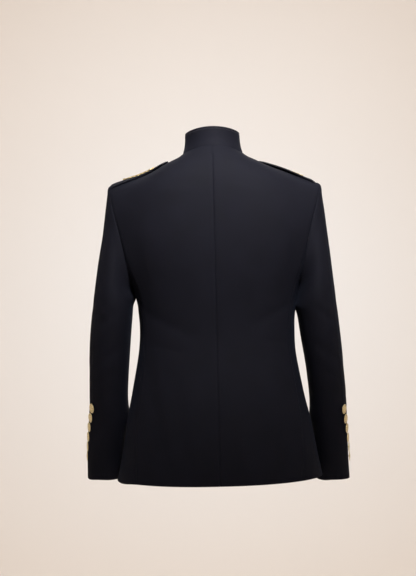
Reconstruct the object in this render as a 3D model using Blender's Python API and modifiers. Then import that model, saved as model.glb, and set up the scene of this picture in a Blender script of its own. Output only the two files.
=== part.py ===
"""Stand-collar military dress jacket, filled out as if worn, with no wearer.

The wearer would face -Y, with the left arm at +X. The origin lies between the
shoulders, level with the points where the shoulder seams meet the collar.
Torso, collar and sleeves are cloth walls lofted through sections, cut into the
panels that a tailor would sew, 0.3 mm apart at the seams.
"""

import math
from collections import namedtuple

import bmesh
import bpy
import numpy as np
from mathutils import Vector

MM = 0.001  # the tables below are in millimetres

# Cloth and seams
CLOTH = 1.8 * MM  # wool with its interlining
SHARP_DEG = 45  # edges sharper than this are shaded sharp
COLLAR_CLOTH = 3.0 * MM
SEAM_GAP = 0.3 * MM
LAY_GAP = 0.4 * MM  # between a piece and the panel that it lies on

# Front closure: the left front laps over the right, which sinks below it
LAP = 20 * MM  # past the centre front
LAP_RAMP = 62 * MM  # the right front starts to sink this far from the centre front
LAP_CLEAR = 2 * MM  # and is right down this far before the left front's edge

# Torso sections. Each has its side point (x, z) and its centre back and centre
# front points (y, z); n is the squareness of the section, back and front.
Section = namedtuple("Section", "name side_x side_z back_y back_z front_y front_z back_n front_n")
TORSO = (
    Section("hem", 222, -697, 132, -703, 130, -703, 2.35, 2.35),
    Section("low hip", 207, -620, 127, -620, 126, -620, 2.35, 2.35),
    Section("hip", 189, -535, 117, -535, 121, -535, 2.35, 2.35),
    Section("high hip", 177, -472, 106, -472, 117, -472, 2.3, 2.35),
    Section("waist", 167, -400, 98, -400, 114, -400, 2.3, 2.4),
    Section("upper waist", 168, -345, 103, -345, 118, -345, 2.35, 2.45),
    Section("armpit", 178, -290, 112, -290, 124, -290, 2.4, 2.45),
    Section("scye", 202, -240, 119, -240, 128, -240, 2.5, 2.45),
    Section("across back", 217, -190, 122, -188, 126, -192, 2.5, 2.4),
    Section("blades", 226, -142, 121, -138, 122, -148, 2.5, 2.4),
    Section("upper", 231, -100, 116.5, -92, 116, -114, 2.4, 2.3),
    Section("tip", 228, -70, 109.5, -59, 111, -98, 2.35, 2.25),
    Section("shoulder 1", 211, -63, 106.5, -48, 108.5, -91, 2.3, 2.2),
    Section("shoulder 2", 175, -49, 99, -30, 103, -80, 2.2, 2.15),
    Section("shoulder 3", 138, -34.5, 90, -14, 97, -70, 2.1, 2.1),
    Section("shoulder 4", 102, -21, 79.5, 0, 90, -60.5, 2.05, 2.05),
    Section("neck", 67, -2.5, 66, 15, 82, -50, 2.0, 2.0),
)

RIDGE_SLOPE = 0.2  # fore-and-aft slope on the shoulder seam, as a share of the ring's own
# The turn from shoulder to back is sharp at the sleeve and rolls over softly away from it
ROLL_LENGTH = 34 * MM  # each way along the surface, away from the sleeve
ROLL_REACH = 110 * MM  # from the shoulder tip to where the softening ends
ROLL_START = 0.84  # sine of the angle from the centre back beyond which it fades

# Armhole: an oval on the torso about the side line, its top at the tip section.
# Turns go round it in degrees from the top, back first.
ARMHOLE_BACK_DEG = 17.5  # how far it reaches round to the back
ARMHOLE_FRONT_DEG = 20.0
ARMHOLE_LOW_BULGE = 0.16  # widest below its middle
HIND_TURN, BACK_JOIN, FORE_TURN, FRONT_JOIN = 34, 110, 214, 236  # where four seams reach it
ARMHOLE_TURNS = np.concatenate([
    np.linspace(0, HIND_TURN, 3)[:-1], np.linspace(HIND_TURN, BACK_JOIN, 5)[:-1],
    np.linspace(BACK_JOIN, FORE_TURN, 7)[:-1], np.linspace(FORE_TURN, FRONT_JOIN, 2)[:-1],
    np.linspace(FRONT_JOIN, 360, 7),
])

# Lengthwise torso seams below the armhole, as the angle from the centre back at a height
SeamPoint = namedtuple("SeamPoint", "z angle")
SIDE_BACK_SEAM = (
    SeamPoint(-700, 63), SeamPoint(-620, 67), SeamPoint(-535, 71), SeamPoint(-400, 73.5),
)
SIDE_FRONT_SEAM = (SeamPoint(-700, 113), SeamPoint(-535, 112), SeamPoint(-400, 110))

# Collar: half width and depth at shares of its height, from seam to top edge
CollarRow = namedtuple("CollarRow", "share side_x back_y front_y")
COLLAR = (
    CollarRow(0.0, 67, 66, 82), CollarRow(0.1, 64, 63.5, 80), CollarRow(0.3, 61.5, 61, 78),
    CollarRow(0.6, 60.3, 59, 76), CollarRow(1.0, 59, 57, 74),
)
COLLAR_RISE = 0.6 * MM  # above the torso's neck edge, clear of its chords
COLLAR_BACK_HEIGHT = 41 * MM
COLLAR_SIDE_HEIGHT = 46.5 * MM
COLLAR_FRONT_HEIGHT = 40 * MM
COLLAR_END = 5 * MM  # each end stops this far from the centre front
COLLAR_ROUND_DEG = 10  # the ends' top corners are rounded off over this angle
COLLAR_ROUND = 0.16  # by this share of the height

# Sleeve rings below the armpit, outer and inner edge, fore-and-aft middle and half depth
Ring = namedtuple("Ring", "z outer_x inner_x mid_y half_depth")
SLEEVES = {
    "left": (
        Ring(-335, 268, 180.5, -1, 75), Ring(-400, 275, 188, -7, 70), Ring(-470, 279, 195, -18, 64),
        Ring(-540, 282, 199, -33, 59), Ring(-615, 288, 206, -51, 54), Ring(-696, 292, 214, -71, 50),
    ),
    "right": (
        Ring(-335, 261, 174.5, -1, 75), Ring(-400, 269, 184, -8, 70), Ring(-475, 275, 194, -21, 64),
        Ring(-548, 279, 200, -39, 59), Ring(-625, 283, 205, -60, 54), Ring(-710, 287, 210, -82, 50),
    ),
}
SLEEVE_SQUARENESS = 2.15
SECTION_TILT = 0.6  # share of the sleeve's forward slant that its sections lean by
CAP_TOP_LEAN = 10  # degrees outward from straight down, as the sleeve leaves the shoulder
CAP_LOW_LEAN = 62  # the same at the armpit
CAP_LEAN_POWER = 1.5  # how late round the armhole the lean grows
CAP_PULL = 0.85  # share of the chord that the leaving direction is followed
HIND_SEAM = (HIND_TURN, 34, 22)  # degrees behind the outer edge: armhole, elbow, cuff
FORE_SEAM = (FORE_TURN, 214, 214)
ELBOW = 1.4  # the elbow's place along the sleeve: 0 armhole, 1 top ring, 2 cuff

# Elbow folds on the front and inner side of each sleeve
Fold = namedtuple("Fold", "z angle spread_z spread_deg depth slant")
SLEEVE_FOLDS = (
    Fold(-395, -95, 9, 60, 2.4, 0.20),
    Fold(-428, -120, 10, 70, 3.0, 0.10),
    Fold(-462, -100, 9, 55, 2.2, -0.15),
    Fold(-350, -150, 11, 50, 2.0, 0.30),
)
# Soft drapes of the torso: angle from the centre back, height range, depth
DRAPE_FADE = 100  # height over which a drape comes and goes
Drape = namedtuple("Drape", "angle spread_deg low_z high_z depth")
DRAPES = (
    Drape(32, 9, -690, -430, 2.6), Drape(-36, 10, -690, -450, 2.4),
    Drape(62, 7, -330, -200, 2.0), Drape(-62, 7, -330, -200, 2.0),
    Drape(140, 9, -690, -450, 2.2), Drape(-140, 9, -690, -450, 2.2),
)

# Shoulder straps, from the neck end to the sleeve seam. Each lies a little apart
# from the ridge and is rolled, at its neck end and at its sleeve end.
Strap = namedtuple("Strap", "neck_y sleeve_y neck_roll sleeve_roll")  # roll in degrees, back edge down
STRAPS = {"left": Strap(12, 3, 5, 0), "right": Strap(-8, -3, -2, -3)}
STRAP_NECK_X = 96 * MM
STRAP_SLEEVE_X = 216 * MM
STRAP_NECK_WIDTH = 40 * MM
STRAP_SLEEVE_WIDTH = 48 * MM
STRAP_POINT = 20 * MM  # length of its rounded neck end
STRAP_THICK = 3.0 * MM

# Gold plait on each strap, a domed wheat-ear that tapers toward the sleeve
PlaitEnd = namedtuple("PlaitEnd", "x half_width height")
PLAIT_NECK = PlaitEnd(129 * MM, 12.5 * MM, 5.6 * MM)
PLAIT_SLEEVE = PlaitEnd(193 * MM, 6.0 * MM, 3.2 * MM)
PLAIT_PITCH = 10 * MM  # between the lobes of one side
PLAIT_GROOVE = 0.34  # depth of the grooves, as a share of the height

# Buttons
BUTTON_RADIUS = 10.5 * MM
STRAP_BUTTON_RADIUS = 8.0 * MM
STRAP_BUTTON_X = 119 * MM
BUTTON_STAND = 3.8 * MM  # foot of the shank to the top of the dome, on a full-size button
BUTTON_SIDES = 10
CUFF_BUTTONS = 6
CUFF_BUTTON_PITCH = 22.6 * MM
CUFF_LOWEST_BUTTON = 43 * MM  # above the cuff's edge
CUFF_BUTTON_DEG = (12.0, 40.0)  # behind the outer edge: lowest, highest
CUFF_BUTTON_PRESS = 0.1 * MM  # nearer the cloth than other buttons, as the sleeve rounds away
FRONT_BUTTON_Z = tuple(z * MM for z in (-118, -193, -268, -343, -418, -493, -568))

COLOURS = {
    "wool": ((0.012, 0.012, 0.017, 1), 0.85, 0.0),
    "gold": ((0.72, 0.53, 0.24, 1), 0.32, 1.0),
    "gold_cord": ((0.74, 0.60, 0.33, 1), 0.45, 0.8),
}


def smooth_curve(xs, ys):
    """A function through the points (xs, ys) that never overshoots them."""
    xs, ys = np.asarray(xs, float), np.asarray(ys, float)
    steps, rises = np.diff(xs), np.diff(ys)
    slopes = rises / steps
    tangents = np.empty_like(ys)
    tangents[0], tangents[-1] = slopes[0], slopes[-1]
    same = slopes[:-1] * slopes[1:] > 0
    weight_a, weight_b = 2 * steps[1:] + steps[:-1], steps[1:] + 2 * steps[:-1]
    safe_a, safe_b = np.where(same, slopes[:-1], 1), np.where(same, slopes[1:], 1)
    mean = (weight_a + weight_b) / (weight_a / safe_a + weight_b / safe_b)
    tangents[1:-1] = np.where(same, mean, 0)

    def value(x):
        x = np.asarray(x, float)
        k = np.clip(np.searchsorted(xs, x, side="right") - 1, 0, len(steps) - 1)
        t = (x - xs[k]) / steps[k]
        inside = np.clip(t, 0, 1)
        a, b = 2 * inside**3 - 3 * inside**2 + 1, inside**3 - 2 * inside**2 + inside
        c, d = 3 * inside**2 - 2 * inside**3, inside**3 - inside**2
        bent = a * ys[k] + b * steps[k] * tangents[k] + c * ys[k + 1] + d * steps[k] * tangents[k + 1]
        past, short = (x - xs[k + 1]) * tangents[k + 1], (x - xs[k]) * tangents[k]
        return bent + np.where(t > 1, past, 0) + np.where(t < 0, short, 0)

    return value


def unit(vectors):
    return vectors / np.linalg.norm(vectors, axis=-1, keepdims=True)


def ease(t):
    """0 to 1 with level ends."""
    t = np.clip(t, 0, 1)
    return t * t * (3 - 2 * t)


# Torso surface

SIDE_PATH = np.array([(s.side_x, s.side_z) for s in TORSO], float) * MM
LEVELS = np.concatenate([[0], np.cumsum(np.linalg.norm(np.diff(SIDE_PATH, axis=0), axis=1))])
LEVEL_OF = {s.name: level for s, level in zip(TORSO, LEVELS)}
COLUMN = {
    name: smooth_curve(LEVELS, [getattr(s, name) * (1 if name.endswith("_n") else MM) for s in TORSO])
    for name in Section._fields[1:]
}


def drape(angle, z):
    """How far the soft folds sink the cloth at an angle and height."""
    depth = 0
    for d in DRAPES:
        across = np.exp(-(((angle - d.angle) / d.spread_deg) ** 2))
        along = ease((z / MM - d.low_z) / DRAPE_FADE + 0.5) * ease((d.high_z - z / MM) / DRAPE_FADE)
        depth = depth + d.depth * MM * across * along
    return depth


def rolled(name, level, share):
    """A column's value, evened out over the roll's length by a share from 0 to 1."""
    even = sum(COLUMN[name](level + k * ROLL_LENGTH) for k in (-1, -0.5, 0, 0.5, 1)) / 5
    return COLUMN[name](level) + share * (even - COLUMN[name](level))


def torso_raw(angle, level):
    """The torso's smooth surface: angle in degrees from the centre back, + to the wearer's left."""
    angle, level = np.broadcast_arrays(np.asarray(angle, float), np.asarray(level, float))
    turn = np.radians(angle)
    sine, cosine = np.sin(turn), np.cos(turn)
    from_tip = np.abs(level - LEVEL_OF["tip"]) / ROLL_REACH
    roll = ease((1 - np.abs(sine)) / (1 - ROLL_START)) * ease(1 - from_tip)
    side_x, side_z = rolled("side_x", level, roll), rolled("side_z", level, roll)
    back_y, front_y = COLUMN["back_y"](level), COLUMN["front_y"](level)
    back_rise, front_rise = COLUMN["back_z"](level) - side_z, COLUMN["front_z"](level) - side_z
    behind = cosine >= 0
    reach_y = np.where(behind, back_y, front_y)
    n = np.where(behind, COLUMN["back_n"](level), COLUMN["front_n"](level))
    radius = (np.abs(cosine / reach_y) ** n + np.abs(sine / side_x) ** n) ** (-1 / n)
    x, y = radius * sine, radius * cosine
    ridge = RIDGE_SLOPE * (back_rise / back_y - front_rise / front_y) / 2
    rise = np.where(behind, back_rise, front_rise)
    curve = (rise - ridge * np.sign(y) * reach_y) / reach_y**2
    return np.stack([x, y, side_z + ridge * y + curve * y * y], axis=-1)


def surface_normal(surface, a, b, step_a, step_b):
    """Unit normal of surface(a, b) from small steps both ways."""
    along_a = surface(a + step_a, b) - surface(a - step_a, b)
    along_b = surface(a, b + step_b) - surface(a, b - step_b)
    return unit(np.cross(along_a, along_b))


def torso_normal(angle, level):
    """Unit normal, pointing out."""
    return -surface_normal(torso_raw, np.asarray(angle, float), np.asarray(level, float), 0.05, 0.0002)


def torso(angle, level):
    point = torso_raw(angle, level)
    return point - torso_normal(angle, level) * drape(np.asarray(angle, float), point[..., 2])[..., None]


def right_front(angle, level):
    """The torso's surface, sunk below the left front where that laps over it."""
    point = torso(angle, level)
    sink = (CLOTH + LAY_GAP) * ease((point[..., 0] + LAP_RAMP) / (LAP_RAMP - LAP - LAP_CLEAR))
    return point - torso_normal(angle, level) * sink[..., None]


def armhole(turn, grow=0.0):
    """Angle and level of the armhole's edge, turn degrees from its top, back first."""
    turn = np.radians(np.asarray(turn, float))
    top, bottom = LEVEL_OF["tip"], LEVEL_OF["armpit"]
    middle, half = (top + bottom) / 2, (top - bottom) / 2
    reach = np.where(np.sin(turn) >= 0, ARMHOLE_BACK_DEG, ARMHOLE_FRONT_DEG)
    wide = np.abs(np.sin(turn)) * (1 - ARMHOLE_LOW_BULGE * np.cos(turn)) * (1 + grow)
    angle = 90 - np.sign(np.sin(turn)) * reach * wide
    return angle, middle + half * (1 + grow) * np.cos(turn)


ARMHOLE_HALF_WIDTH = 50 * MM  # about, where it is narrow
ARMHOLE_GROW = 0.75 * SEAM_GAP / ARMHOLE_HALF_WIDTH  # the panels' edges, just outside the oval


def armhole_turns(first, last):
    """The turns at which both sides of the armhole seam have points, from first to last."""
    low, high = min(first, last), max(first, last)
    turns = np.unique(np.concatenate([ARMHOLE_TURNS, ARMHOLE_TURNS - 360]))
    turns = turns[(turns >= low - 1e-6) & (turns <= high + 1e-6)]
    return turns if first < last else turns[::-1]


def seam_curve(points, join):
    """A lengthwise seam's angle at a level, from its table up to where it joins the armhole."""
    join_angle, join_level = armhole(join, ARMHOLE_GROW)
    heights = [p.z * MM for p in points] + [float(COLUMN["side_z"](join_level))]
    angle_at = smooth_curve(heights, [p.angle for p in points] + [float(join_angle)])
    return lambda level: angle_at(COLUMN["side_z"](level))


SIDE_BACK = seam_curve(SIDE_BACK_SEAM, BACK_JOIN)
SIDE_FRONT = seam_curve(SIDE_FRONT_SEAM, FRONT_JOIN)


def half_gap_angle(angle, level):
    """Half a seam's gap, as an angle."""
    step = 0.05
    moved = np.linalg.norm(torso_raw(angle + step, level) - torso_raw(angle - step, level), axis=-1)
    return 0.5 * SEAM_GAP / moved * 2 * step


# Meshes


def wall(outer, inner):
    """A closed mesh between two grids of points, each rows by columns."""
    rows, columns = outer.shape[:2]
    mesh = bmesh.new()
    front = [[mesh.verts.new(p) for p in row] for row in outer]
    back = [[mesh.verts.new(p) for p in row] for row in inner]
    for i in range(rows - 1):
        for j in range(columns - 1):
            mesh.faces.new((front[i][j], front[i][j + 1], front[i + 1][j + 1], front[i + 1][j]))
            mesh.faces.new((back[i][j], back[i + 1][j], back[i + 1][j + 1], back[i][j + 1]))
    for i in range(rows - 1):
        for j in (0, columns - 1):
            mesh.faces.new((front[i][j], front[i + 1][j], back[i + 1][j], back[i][j]))
    for j in range(columns - 1):
        for i in (0, rows - 1):
            mesh.faces.new((front[i][j], front[i][j + 1], back[i][j + 1], back[i][j]))
    bmesh.ops.recalc_face_normals(mesh, faces=mesh.faces)
    data = bpy.data.meshes.new("wall")
    mesh.to_mesh(data)
    mesh.free()
    return data


def material(name):
    colour, roughness, metallic = COLOURS[name]
    found = bpy.data.materials.get(name)
    if found is None:
        found = bpy.data.materials.new(name)
        found.use_nodes = True
        shader = found.node_tree.nodes["Principled BSDF"]
        shader.inputs["Base Color"].default_value = colour
        shader.inputs["Roughness"].default_value = roughness
        shader.inputs["Metallic"].default_value = metallic
        found.diffuse_color = colour
    return found


def add_piece(name, data, finish):
    piece = bpy.data.objects.new(name, data)
    jacket.objects.link(piece)
    if not data.materials:
        data.materials.append(material(finish))
    data.shade_smooth()
    if data.polygons:
        data.set_sharp_from_angle(angle=math.radians(SHARP_DEG))
    return piece


def add_cloth(name, surface, normal, angles, levels):
    """One panel: the outer grid on the surface, the inner one a cloth's thickness in."""
    outer = surface(angles, levels)
    add_piece(name, wall(outer, outer - normal(angles, levels) * CLOTH), "wool")


# Torso panels


def panel_levels(turns, below, above):
    """Levels of a back or front panel's rows: hem to seam end, beside the armhole, along the shoulder."""
    _, beside = armhole(turns, ARMHOLE_GROW)
    neck = LEVEL_OF["neck"] - 0.5 * SEAM_GAP
    return np.concatenate([
        np.linspace(0, beside[0], below + 1)[:-1], beside, np.linspace(beside[-1], neck, above + 1)[1:],
    ])


def side_edge(levels, turns, below, seam, direction):
    """The angle of a panel's side edge at each row, half a gap short of its neighbour."""
    edge = seam(levels)
    last = below + len(turns) - 1
    edge[last:] = 90
    edge = edge + direction * half_gap_angle(edge, levels)
    edge[below + 1:last] = armhole(turns, ARMHOLE_GROW)[0][1:-1]
    return edge


def back_panel(side, columns=9, below=13, above=5):
    turns = armhole_turns(BACK_JOIN, 0)
    levels = panel_levels(turns, below, above)
    edge = side_edge(levels, turns, below, SIDE_BACK, -1)
    start = half_gap_angle(np.zeros_like(levels), levels)
    angles = start[:, None] + (edge - start)[:, None] * np.linspace(0, 1, columns)
    return angles * side, np.broadcast_to(levels[:, None], angles.shape)


def front_panel(side, columns=9, lap_columns=6, below=13, above=5):
    """From the side-front seam to the edge of the lap; both fronts have the same columns in the lap."""
    turns = armhole_turns(FRONT_JOIN, 360)
    levels = panel_levels(turns, below, above)
    edge = side_edge(levels, turns, below, SIDE_FRONT, 1)
    past = np.degrees(LAP / COLUMN["front_y"](levels))[:, None]
    clear = edge[:, None] + (180 - past - edge[:, None]) * np.linspace(0, 1, columns)
    lapped = 180 - past + 2 * past * np.linspace(0, 1, lap_columns + 1)[1:]
    angles = np.hstack([clear, lapped])
    return angles * side, np.broadcast_to(levels[:, None], angles.shape)


def side_panel(side, rows=14):
    """Coons patch between the two side seams, the hem and the armhole's underside."""
    turns = armhole_turns(BACK_JOIN, FRONT_JOIN)
    across = ((turns - turns[0]) / (turns[-1] - turns[0]))[None, :]
    up = np.linspace(0, 1, rows)[:, None]
    top_angle, top_level = (a[None, :] for a in armhole(turns, ARMHOLE_GROW))
    back_level, front_level = up * top_level[:, :1], up * top_level[:, -1:]
    back, front = SIDE_BACK(back_level), SIDE_FRONT(front_level)
    back = back + half_gap_angle(back, back_level)
    front = front - half_gap_angle(front, front_level)
    top_angle[:, 0], top_angle[:, -1] = back[-1, 0], front[-1, 0]
    hem_angle = back[0, 0] + (front[0, 0] - back[0, 0]) * across
    angles = (
        (1 - across) * back + across * front + (1 - up) * hem_angle + up * top_angle
        - (1 - up) * ((1 - across) * back[0, 0] + across * front[0, 0])
        - up * ((1 - across) * back[-1, 0] + across * front[-1, 0])
    )
    levels = (
        (1 - across) * back_level + across * front_level + up * top_level
        - up * ((1 - across) * top_level[0, 0] + across * top_level[0, -1])
    )
    return angles * side, levels


def build_torso():
    for name, side in (("left", 1), ("right", -1)):
        add_cloth(f"back_{name}", torso, torso_normal, *back_panel(side))
        add_cloth(f"side_{name}", torso, torso_normal, *side_panel(side))
        surface = torso if name == "left" else right_front
        add_cloth(f"front_{name}", surface, torso_normal, *front_panel(side))


# Collar


def collar_surface(angle, share):
    """The collar's outer face, from the neck seam (share 0) to its top edge (share 1)."""
    angle, share = np.broadcast_arrays(np.asarray(angle, float), np.asarray(share, float))
    shares = [r.share for r in COLLAR]
    side_x, back_y, front_y = (
        smooth_curve(shares, [getattr(r, name) * MM for r in COLLAR])(share)
        for name in ("side_x", "back_y", "front_y")
    )
    turn = np.radians(angle)
    sine, cosine = np.sin(turn), np.cos(turn)
    reach_y = np.where(cosine >= 0, back_y, front_y)
    radius = ((cosine / reach_y) ** 2 + (sine / side_x) ** 2) ** -0.5
    base = torso_raw(angle, np.full(angle.shape, LEVEL_OF["neck"]))
    frontness = np.clip(-cosine, 0, 1) ** 2
    backness = np.clip(cosine, 0, 1) ** 2
    height = (
        COLLAR_SIDE_HEIGHT
        + (COLLAR_BACK_HEIGHT - COLLAR_SIDE_HEIGHT) * backness
        + (COLLAR_FRONT_HEIGHT - COLLAR_SIDE_HEIGHT) * frontness
    )
    low = base[..., 2] + COLLAR_RISE
    return np.stack([radius * sine, radius * cosine, low + height * share], axis=-1)


def build_collar(rows=5):
    end = 180 - math.degrees(COLLAR_END / (COLLAR[0].front_y * MM))
    half = end - np.concatenate([[0, 2, 5, 10, 15], np.linspace(20, end, 17)])
    angles = np.concatenate([-half, half[-2::-1]])[None, :]
    corner = np.clip((end - np.abs(angles)) / COLLAR_ROUND_DEG, 0, 1)
    top = 1 - COLLAR_ROUND * (1 - np.sqrt(1 - (1 - corner) ** 2))
    share = np.linspace(0, 1, rows)[:, None] * top
    angles = np.broadcast_to(angles, share.shape)
    normal = -surface_normal(collar_surface, angles, share, 0.2, 0.01)
    outer = collar_surface(angles, share)
    inward = -unit(normal * np.array([1, 1, 0]))
    add_piece("collar", wall(outer, outer + inward * COLLAR_CLOTH), "wool")


# Sleeves


def sleeve_columns(side):
    rings = SLEEVES[side][::-1]
    heights = [r.z * MM for r in rings]
    return {name: smooth_curve(heights, [getattr(r, name) * MM for r in rings]) for name in Ring._fields[1:]}


def sleeve_fold(turn, z):
    depth = 0
    for f in SLEEVE_FOLDS:
        off = (turn - f.angle + 180) % 360 - 180
        line = z / MM - f.z - f.slant * off
        depth = depth + f.depth * MM * np.exp(-((line / f.spread_z) ** 2) - (off / f.spread_deg) ** 2)
    return depth


def make_sleeve(side):
    """Surface functions of one sleeve, drawn on the wearer's left and mirrored for the right."""
    sign = 1 if side == "left" else -1
    column = sleeve_columns(side)
    top_z, cuff_z = SLEEVES[side][0].z * MM, SLEEVES[side][-1].z * MM
    lower_length = top_z - cuff_z

    def middle(z):
        x = (column["outer_x"](z) + column["inner_x"](z)) / 2
        return np.stack([x, column["mid_y"](z), z], axis=-1)

    def lower(turn, down):
        """The tube below the armpit, down metres under its top ring."""
        z = top_z - down
        centre = middle(z)
        axis = unit(middle(z - MM) - middle(z + MM))
        lateral = np.array([1.0, 0, 0]) - axis * axis[..., :1]
        aft = np.array([0, 1.0, 0]) - axis * axis[..., 1:2] * SECTION_TILT
        half = (column["outer_x"](z) - column["inner_x"](z)) / 2
        n = SLEEVE_SQUARENESS
        cosine, sine = np.cos(np.radians(turn)), np.sin(np.radians(turn))
        radius = (np.abs(cosine) ** n + np.abs(sine) ** n) ** (-1 / n)
        reach = (half * radius * cosine)[..., None], (column["half_depth"](z) * radius * sine)[..., None]
        return centre + unit(lateral) * reach[0] + unit(aft) * reach[1]

    def cap(turn, t):
        """From the armhole (t 0) to the top ring (t 1)."""
        angle, level = armhole(turn)
        start = torso(angle, level)
        end = lower(turn, np.zeros_like(turn))
        chord = np.linalg.norm(end - start, axis=-1, keepdims=True)
        share = (1 - np.cos(np.radians(turn))) / 2
        lean = np.radians(CAP_TOP_LEAN + (CAP_LOW_LEAN - CAP_TOP_LEAN) * share**CAP_LEAN_POWER)
        leave = np.stack([np.sin(lean), np.zeros_like(lean), -np.cos(lean)], axis=-1)
        arrive = unit(lower(turn, np.full_like(turn, MM)) - end)
        t = t[..., None]
        return (
            (2 * t**3 - 3 * t**2 + 1) * start + (t**3 - 2 * t**2 + t) * leave * chord * CAP_PULL
            + (3 * t**2 - 2 * t**3) * end + (t**3 - t**2) * arrive * chord * CAP_PULL
        )

    def surface(turn, t):
        """t runs from 0 at the armhole over 1 at the top ring to 2 at the cuff."""
        turn, t = np.broadcast_arrays(np.asarray(turn, float), np.asarray(t, float))
        upper = cap(turn, np.clip(t, -0.1, 1))
        down = lower(turn, np.clip(t - 1, 0, 1.2) * lower_length)
        point = np.where((t <= 1)[..., None], upper, down)
        return point * np.array([sign, 1, 1])

    def normal(turn, t):
        flat = surface_normal(surface, np.asarray(turn, float), np.asarray(t, float), 0.2, 0.002)
        return -flat * sign

    def folded(turn, t):
        point = surface(turn, t)
        return point - normal(turn, t) * sleeve_fold(np.asarray(turn, float), point[..., 2])[..., None]

    return folded, normal


def seam_turn(values, t):
    """A sleeve seam's turn at t, given at the armhole, the elbow and the cuff."""
    return smooth_curve((0, ELBOW, 2), values)(t)


def add_sleeve(side, name, hind, fore):
    """One sleeve panel, from the hind seam's turn at the armhole to the fore seam's."""
    surface, normal = make_sleeve(side)
    t = np.concatenate([np.linspace(0, 1, 9), np.linspace(1, 2, 13)[1:]])[:, None]
    direction = np.sign(fore - hind)
    first, last = seam_turn(HIND_SEAM, t), seam_turn(FORE_SEAM, t) + fore - FORE_TURN
    first = first + direction * sleeve_gap(surface, first, t)
    last = last - direction * sleeve_gap(surface, last, t)
    around = armhole_turns(hind, fore)
    turns = first + (last - first) * (around - hind) / (fore - hind)
    t = np.broadcast_to(t, turns.shape)
    outer, inward = surface(turns, t), -normal(turns, t)
    outer, inner = seat_on_armhole(side, turns, outer, inward)
    add_piece(f"{name}_sleeve_{side}", wall(outer, inner), "wool")


def sleeve_gap(surface, turn, t, step=0.2):
    """Half a seam's gap, as a turn about the sleeve."""
    moved = np.linalg.norm(surface(turn + step, t) - surface(turn - step, t), axis=-1)
    return 0.5 * SEAM_GAP / moved * 2 * step


def seat_on_armhole(side, turns, outer, inward):
    """The sleeve's first row stays on its own side of the armhole seam, half a gap from it."""
    flip = np.array([1 if side == "left" else -1, 1, 1])
    out = torso_normal(*armhole(turns[0]))
    along = torso_raw(*armhole(turns[0] + 0.5)) - torso_raw(*armhole(turns[0] - 0.5))
    into_hole = unit(np.cross(along, out)) * flip
    inner = outer + inward * CLOTH
    for row, share in ((0, 1.0), (1, 0.5)):
        back = np.minimum((inward[row] * into_hole).sum(-1, keepdims=True), 0) * share
        inner[row] = outer[row] + unit(inward[row] - back * into_hole) * CLOTH
    outer[0] += into_hole * 0.5 * SEAM_GAP
    inner[0] += into_hole * 0.5 * SEAM_GAP
    return outer, inner


def build_sleeves():
    for side in SLEEVES:
        add_sleeve(side, "top", HIND_TURN, FORE_TURN - 360)
        add_sleeve(side, "under", HIND_TURN, FORE_TURN)


# Shoulder straps


def shoulder_height(x, y):
    """Height of the left shoulder's surface at (x, y), by Newton's steps."""
    first = [s.name for s in TORSO].index("tip")
    angle = np.degrees(np.arctan2(x, y))
    level = np.interp(-x, -SIDE_PATH[first:, 0], LEVELS[first:])
    step_a, step_l = 0.1, 0.3 * MM
    for _ in range(12):
        off = np.stack([x, y], -1) - torso_raw(angle, level)[..., :2]
        by_angle = (torso_raw(angle + step_a, level) - torso_raw(angle - step_a, level)) / (2 * step_a)
        by_level = (torso_raw(angle, level + step_l) - torso_raw(angle, level - step_l)) / (2 * step_l)
        slopes = np.stack([by_angle[..., :2], by_level[..., :2]], -1)
        change = np.linalg.solve(slopes, off[..., None])[..., 0]
        angle, level = angle + change[..., 0], level + change[..., 1]
    return torso_raw(angle, level)[..., 2]


def strap_half_width(x):
    """Half the strap's width at a distance from the centre, with its rounded neck end."""
    along = (x - STRAP_NECK_X) / (STRAP_SLEEVE_X - STRAP_NECK_X)
    half = (STRAP_NECK_WIDTH + (STRAP_SLEEVE_WIDTH - STRAP_NECK_WIDTH) * along) / 2
    end = np.clip(1 - (x - STRAP_NECK_X) / STRAP_POINT, 0, 0.97)
    return half * np.sqrt(1 - end * end)


def strap_underside(strap, x, across):
    """Points of the strap's underside, on the left shoulder, across metres behind its middle."""
    along = (x - STRAP_NECK_X) / (STRAP_SLEEVE_X - STRAP_NECK_X)
    y = (strap.neck_y + (strap.sleeve_y - strap.neck_y) * along) * MM + across
    tilt = np.tan(np.radians(strap.neck_roll + (strap.sleeve_roll - strap.neck_roll) * along))
    lift = STRAP_NECK_WIDTH / 2 * np.abs(tilt) - across * tilt
    return np.stack([x, y, shoulder_height(x, y) + LAY_GAP + lift], -1)


def strap_frame(strap, x, across):
    """Points of the strap's underside and the upward normals there."""
    x, across = np.broadcast_arrays(np.asarray(x, float), np.asarray(across, float))
    step = 0.5 * MM
    along_x = strap_underside(strap, x + step, across) - strap_underside(strap, x - step, across)
    along_y = strap_underside(strap, x, across + step) - strap_underside(strap, x, across - step)
    return strap_underside(strap, x, across), unit(np.cross(along_x, along_y))


def build_strap(side):
    strap, flip = STRAPS[side], np.array([1 if side == "left" else -1, 1, 1])
    shares = np.array([0, 0.02, 0.055, 0.11, 0.17, 0.28, 0.4, 0.52, 0.64, 0.76, 0.88, 1])
    x = (STRAP_NECK_X + (STRAP_SLEEVE_X - STRAP_NECK_X) * shares)[:, None]
    under, up = strap_frame(strap, x, strap_half_width(x) * np.linspace(-1, 1, 7))
    add_piece(f"epaulette_{side}", wall((under + up * STRAP_THICK) * flip, under * flip), "wool")
    build_plait(side, strap, flip)
    foot, up = strap_frame(strap, STRAP_BUTTON_X, 0.0)
    foot = foot + up * STRAP_THICK
    place_button(f"epaulette_button_{side}", foot * flip, up * flip, STRAP_BUTTON_RADIUS)


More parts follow.
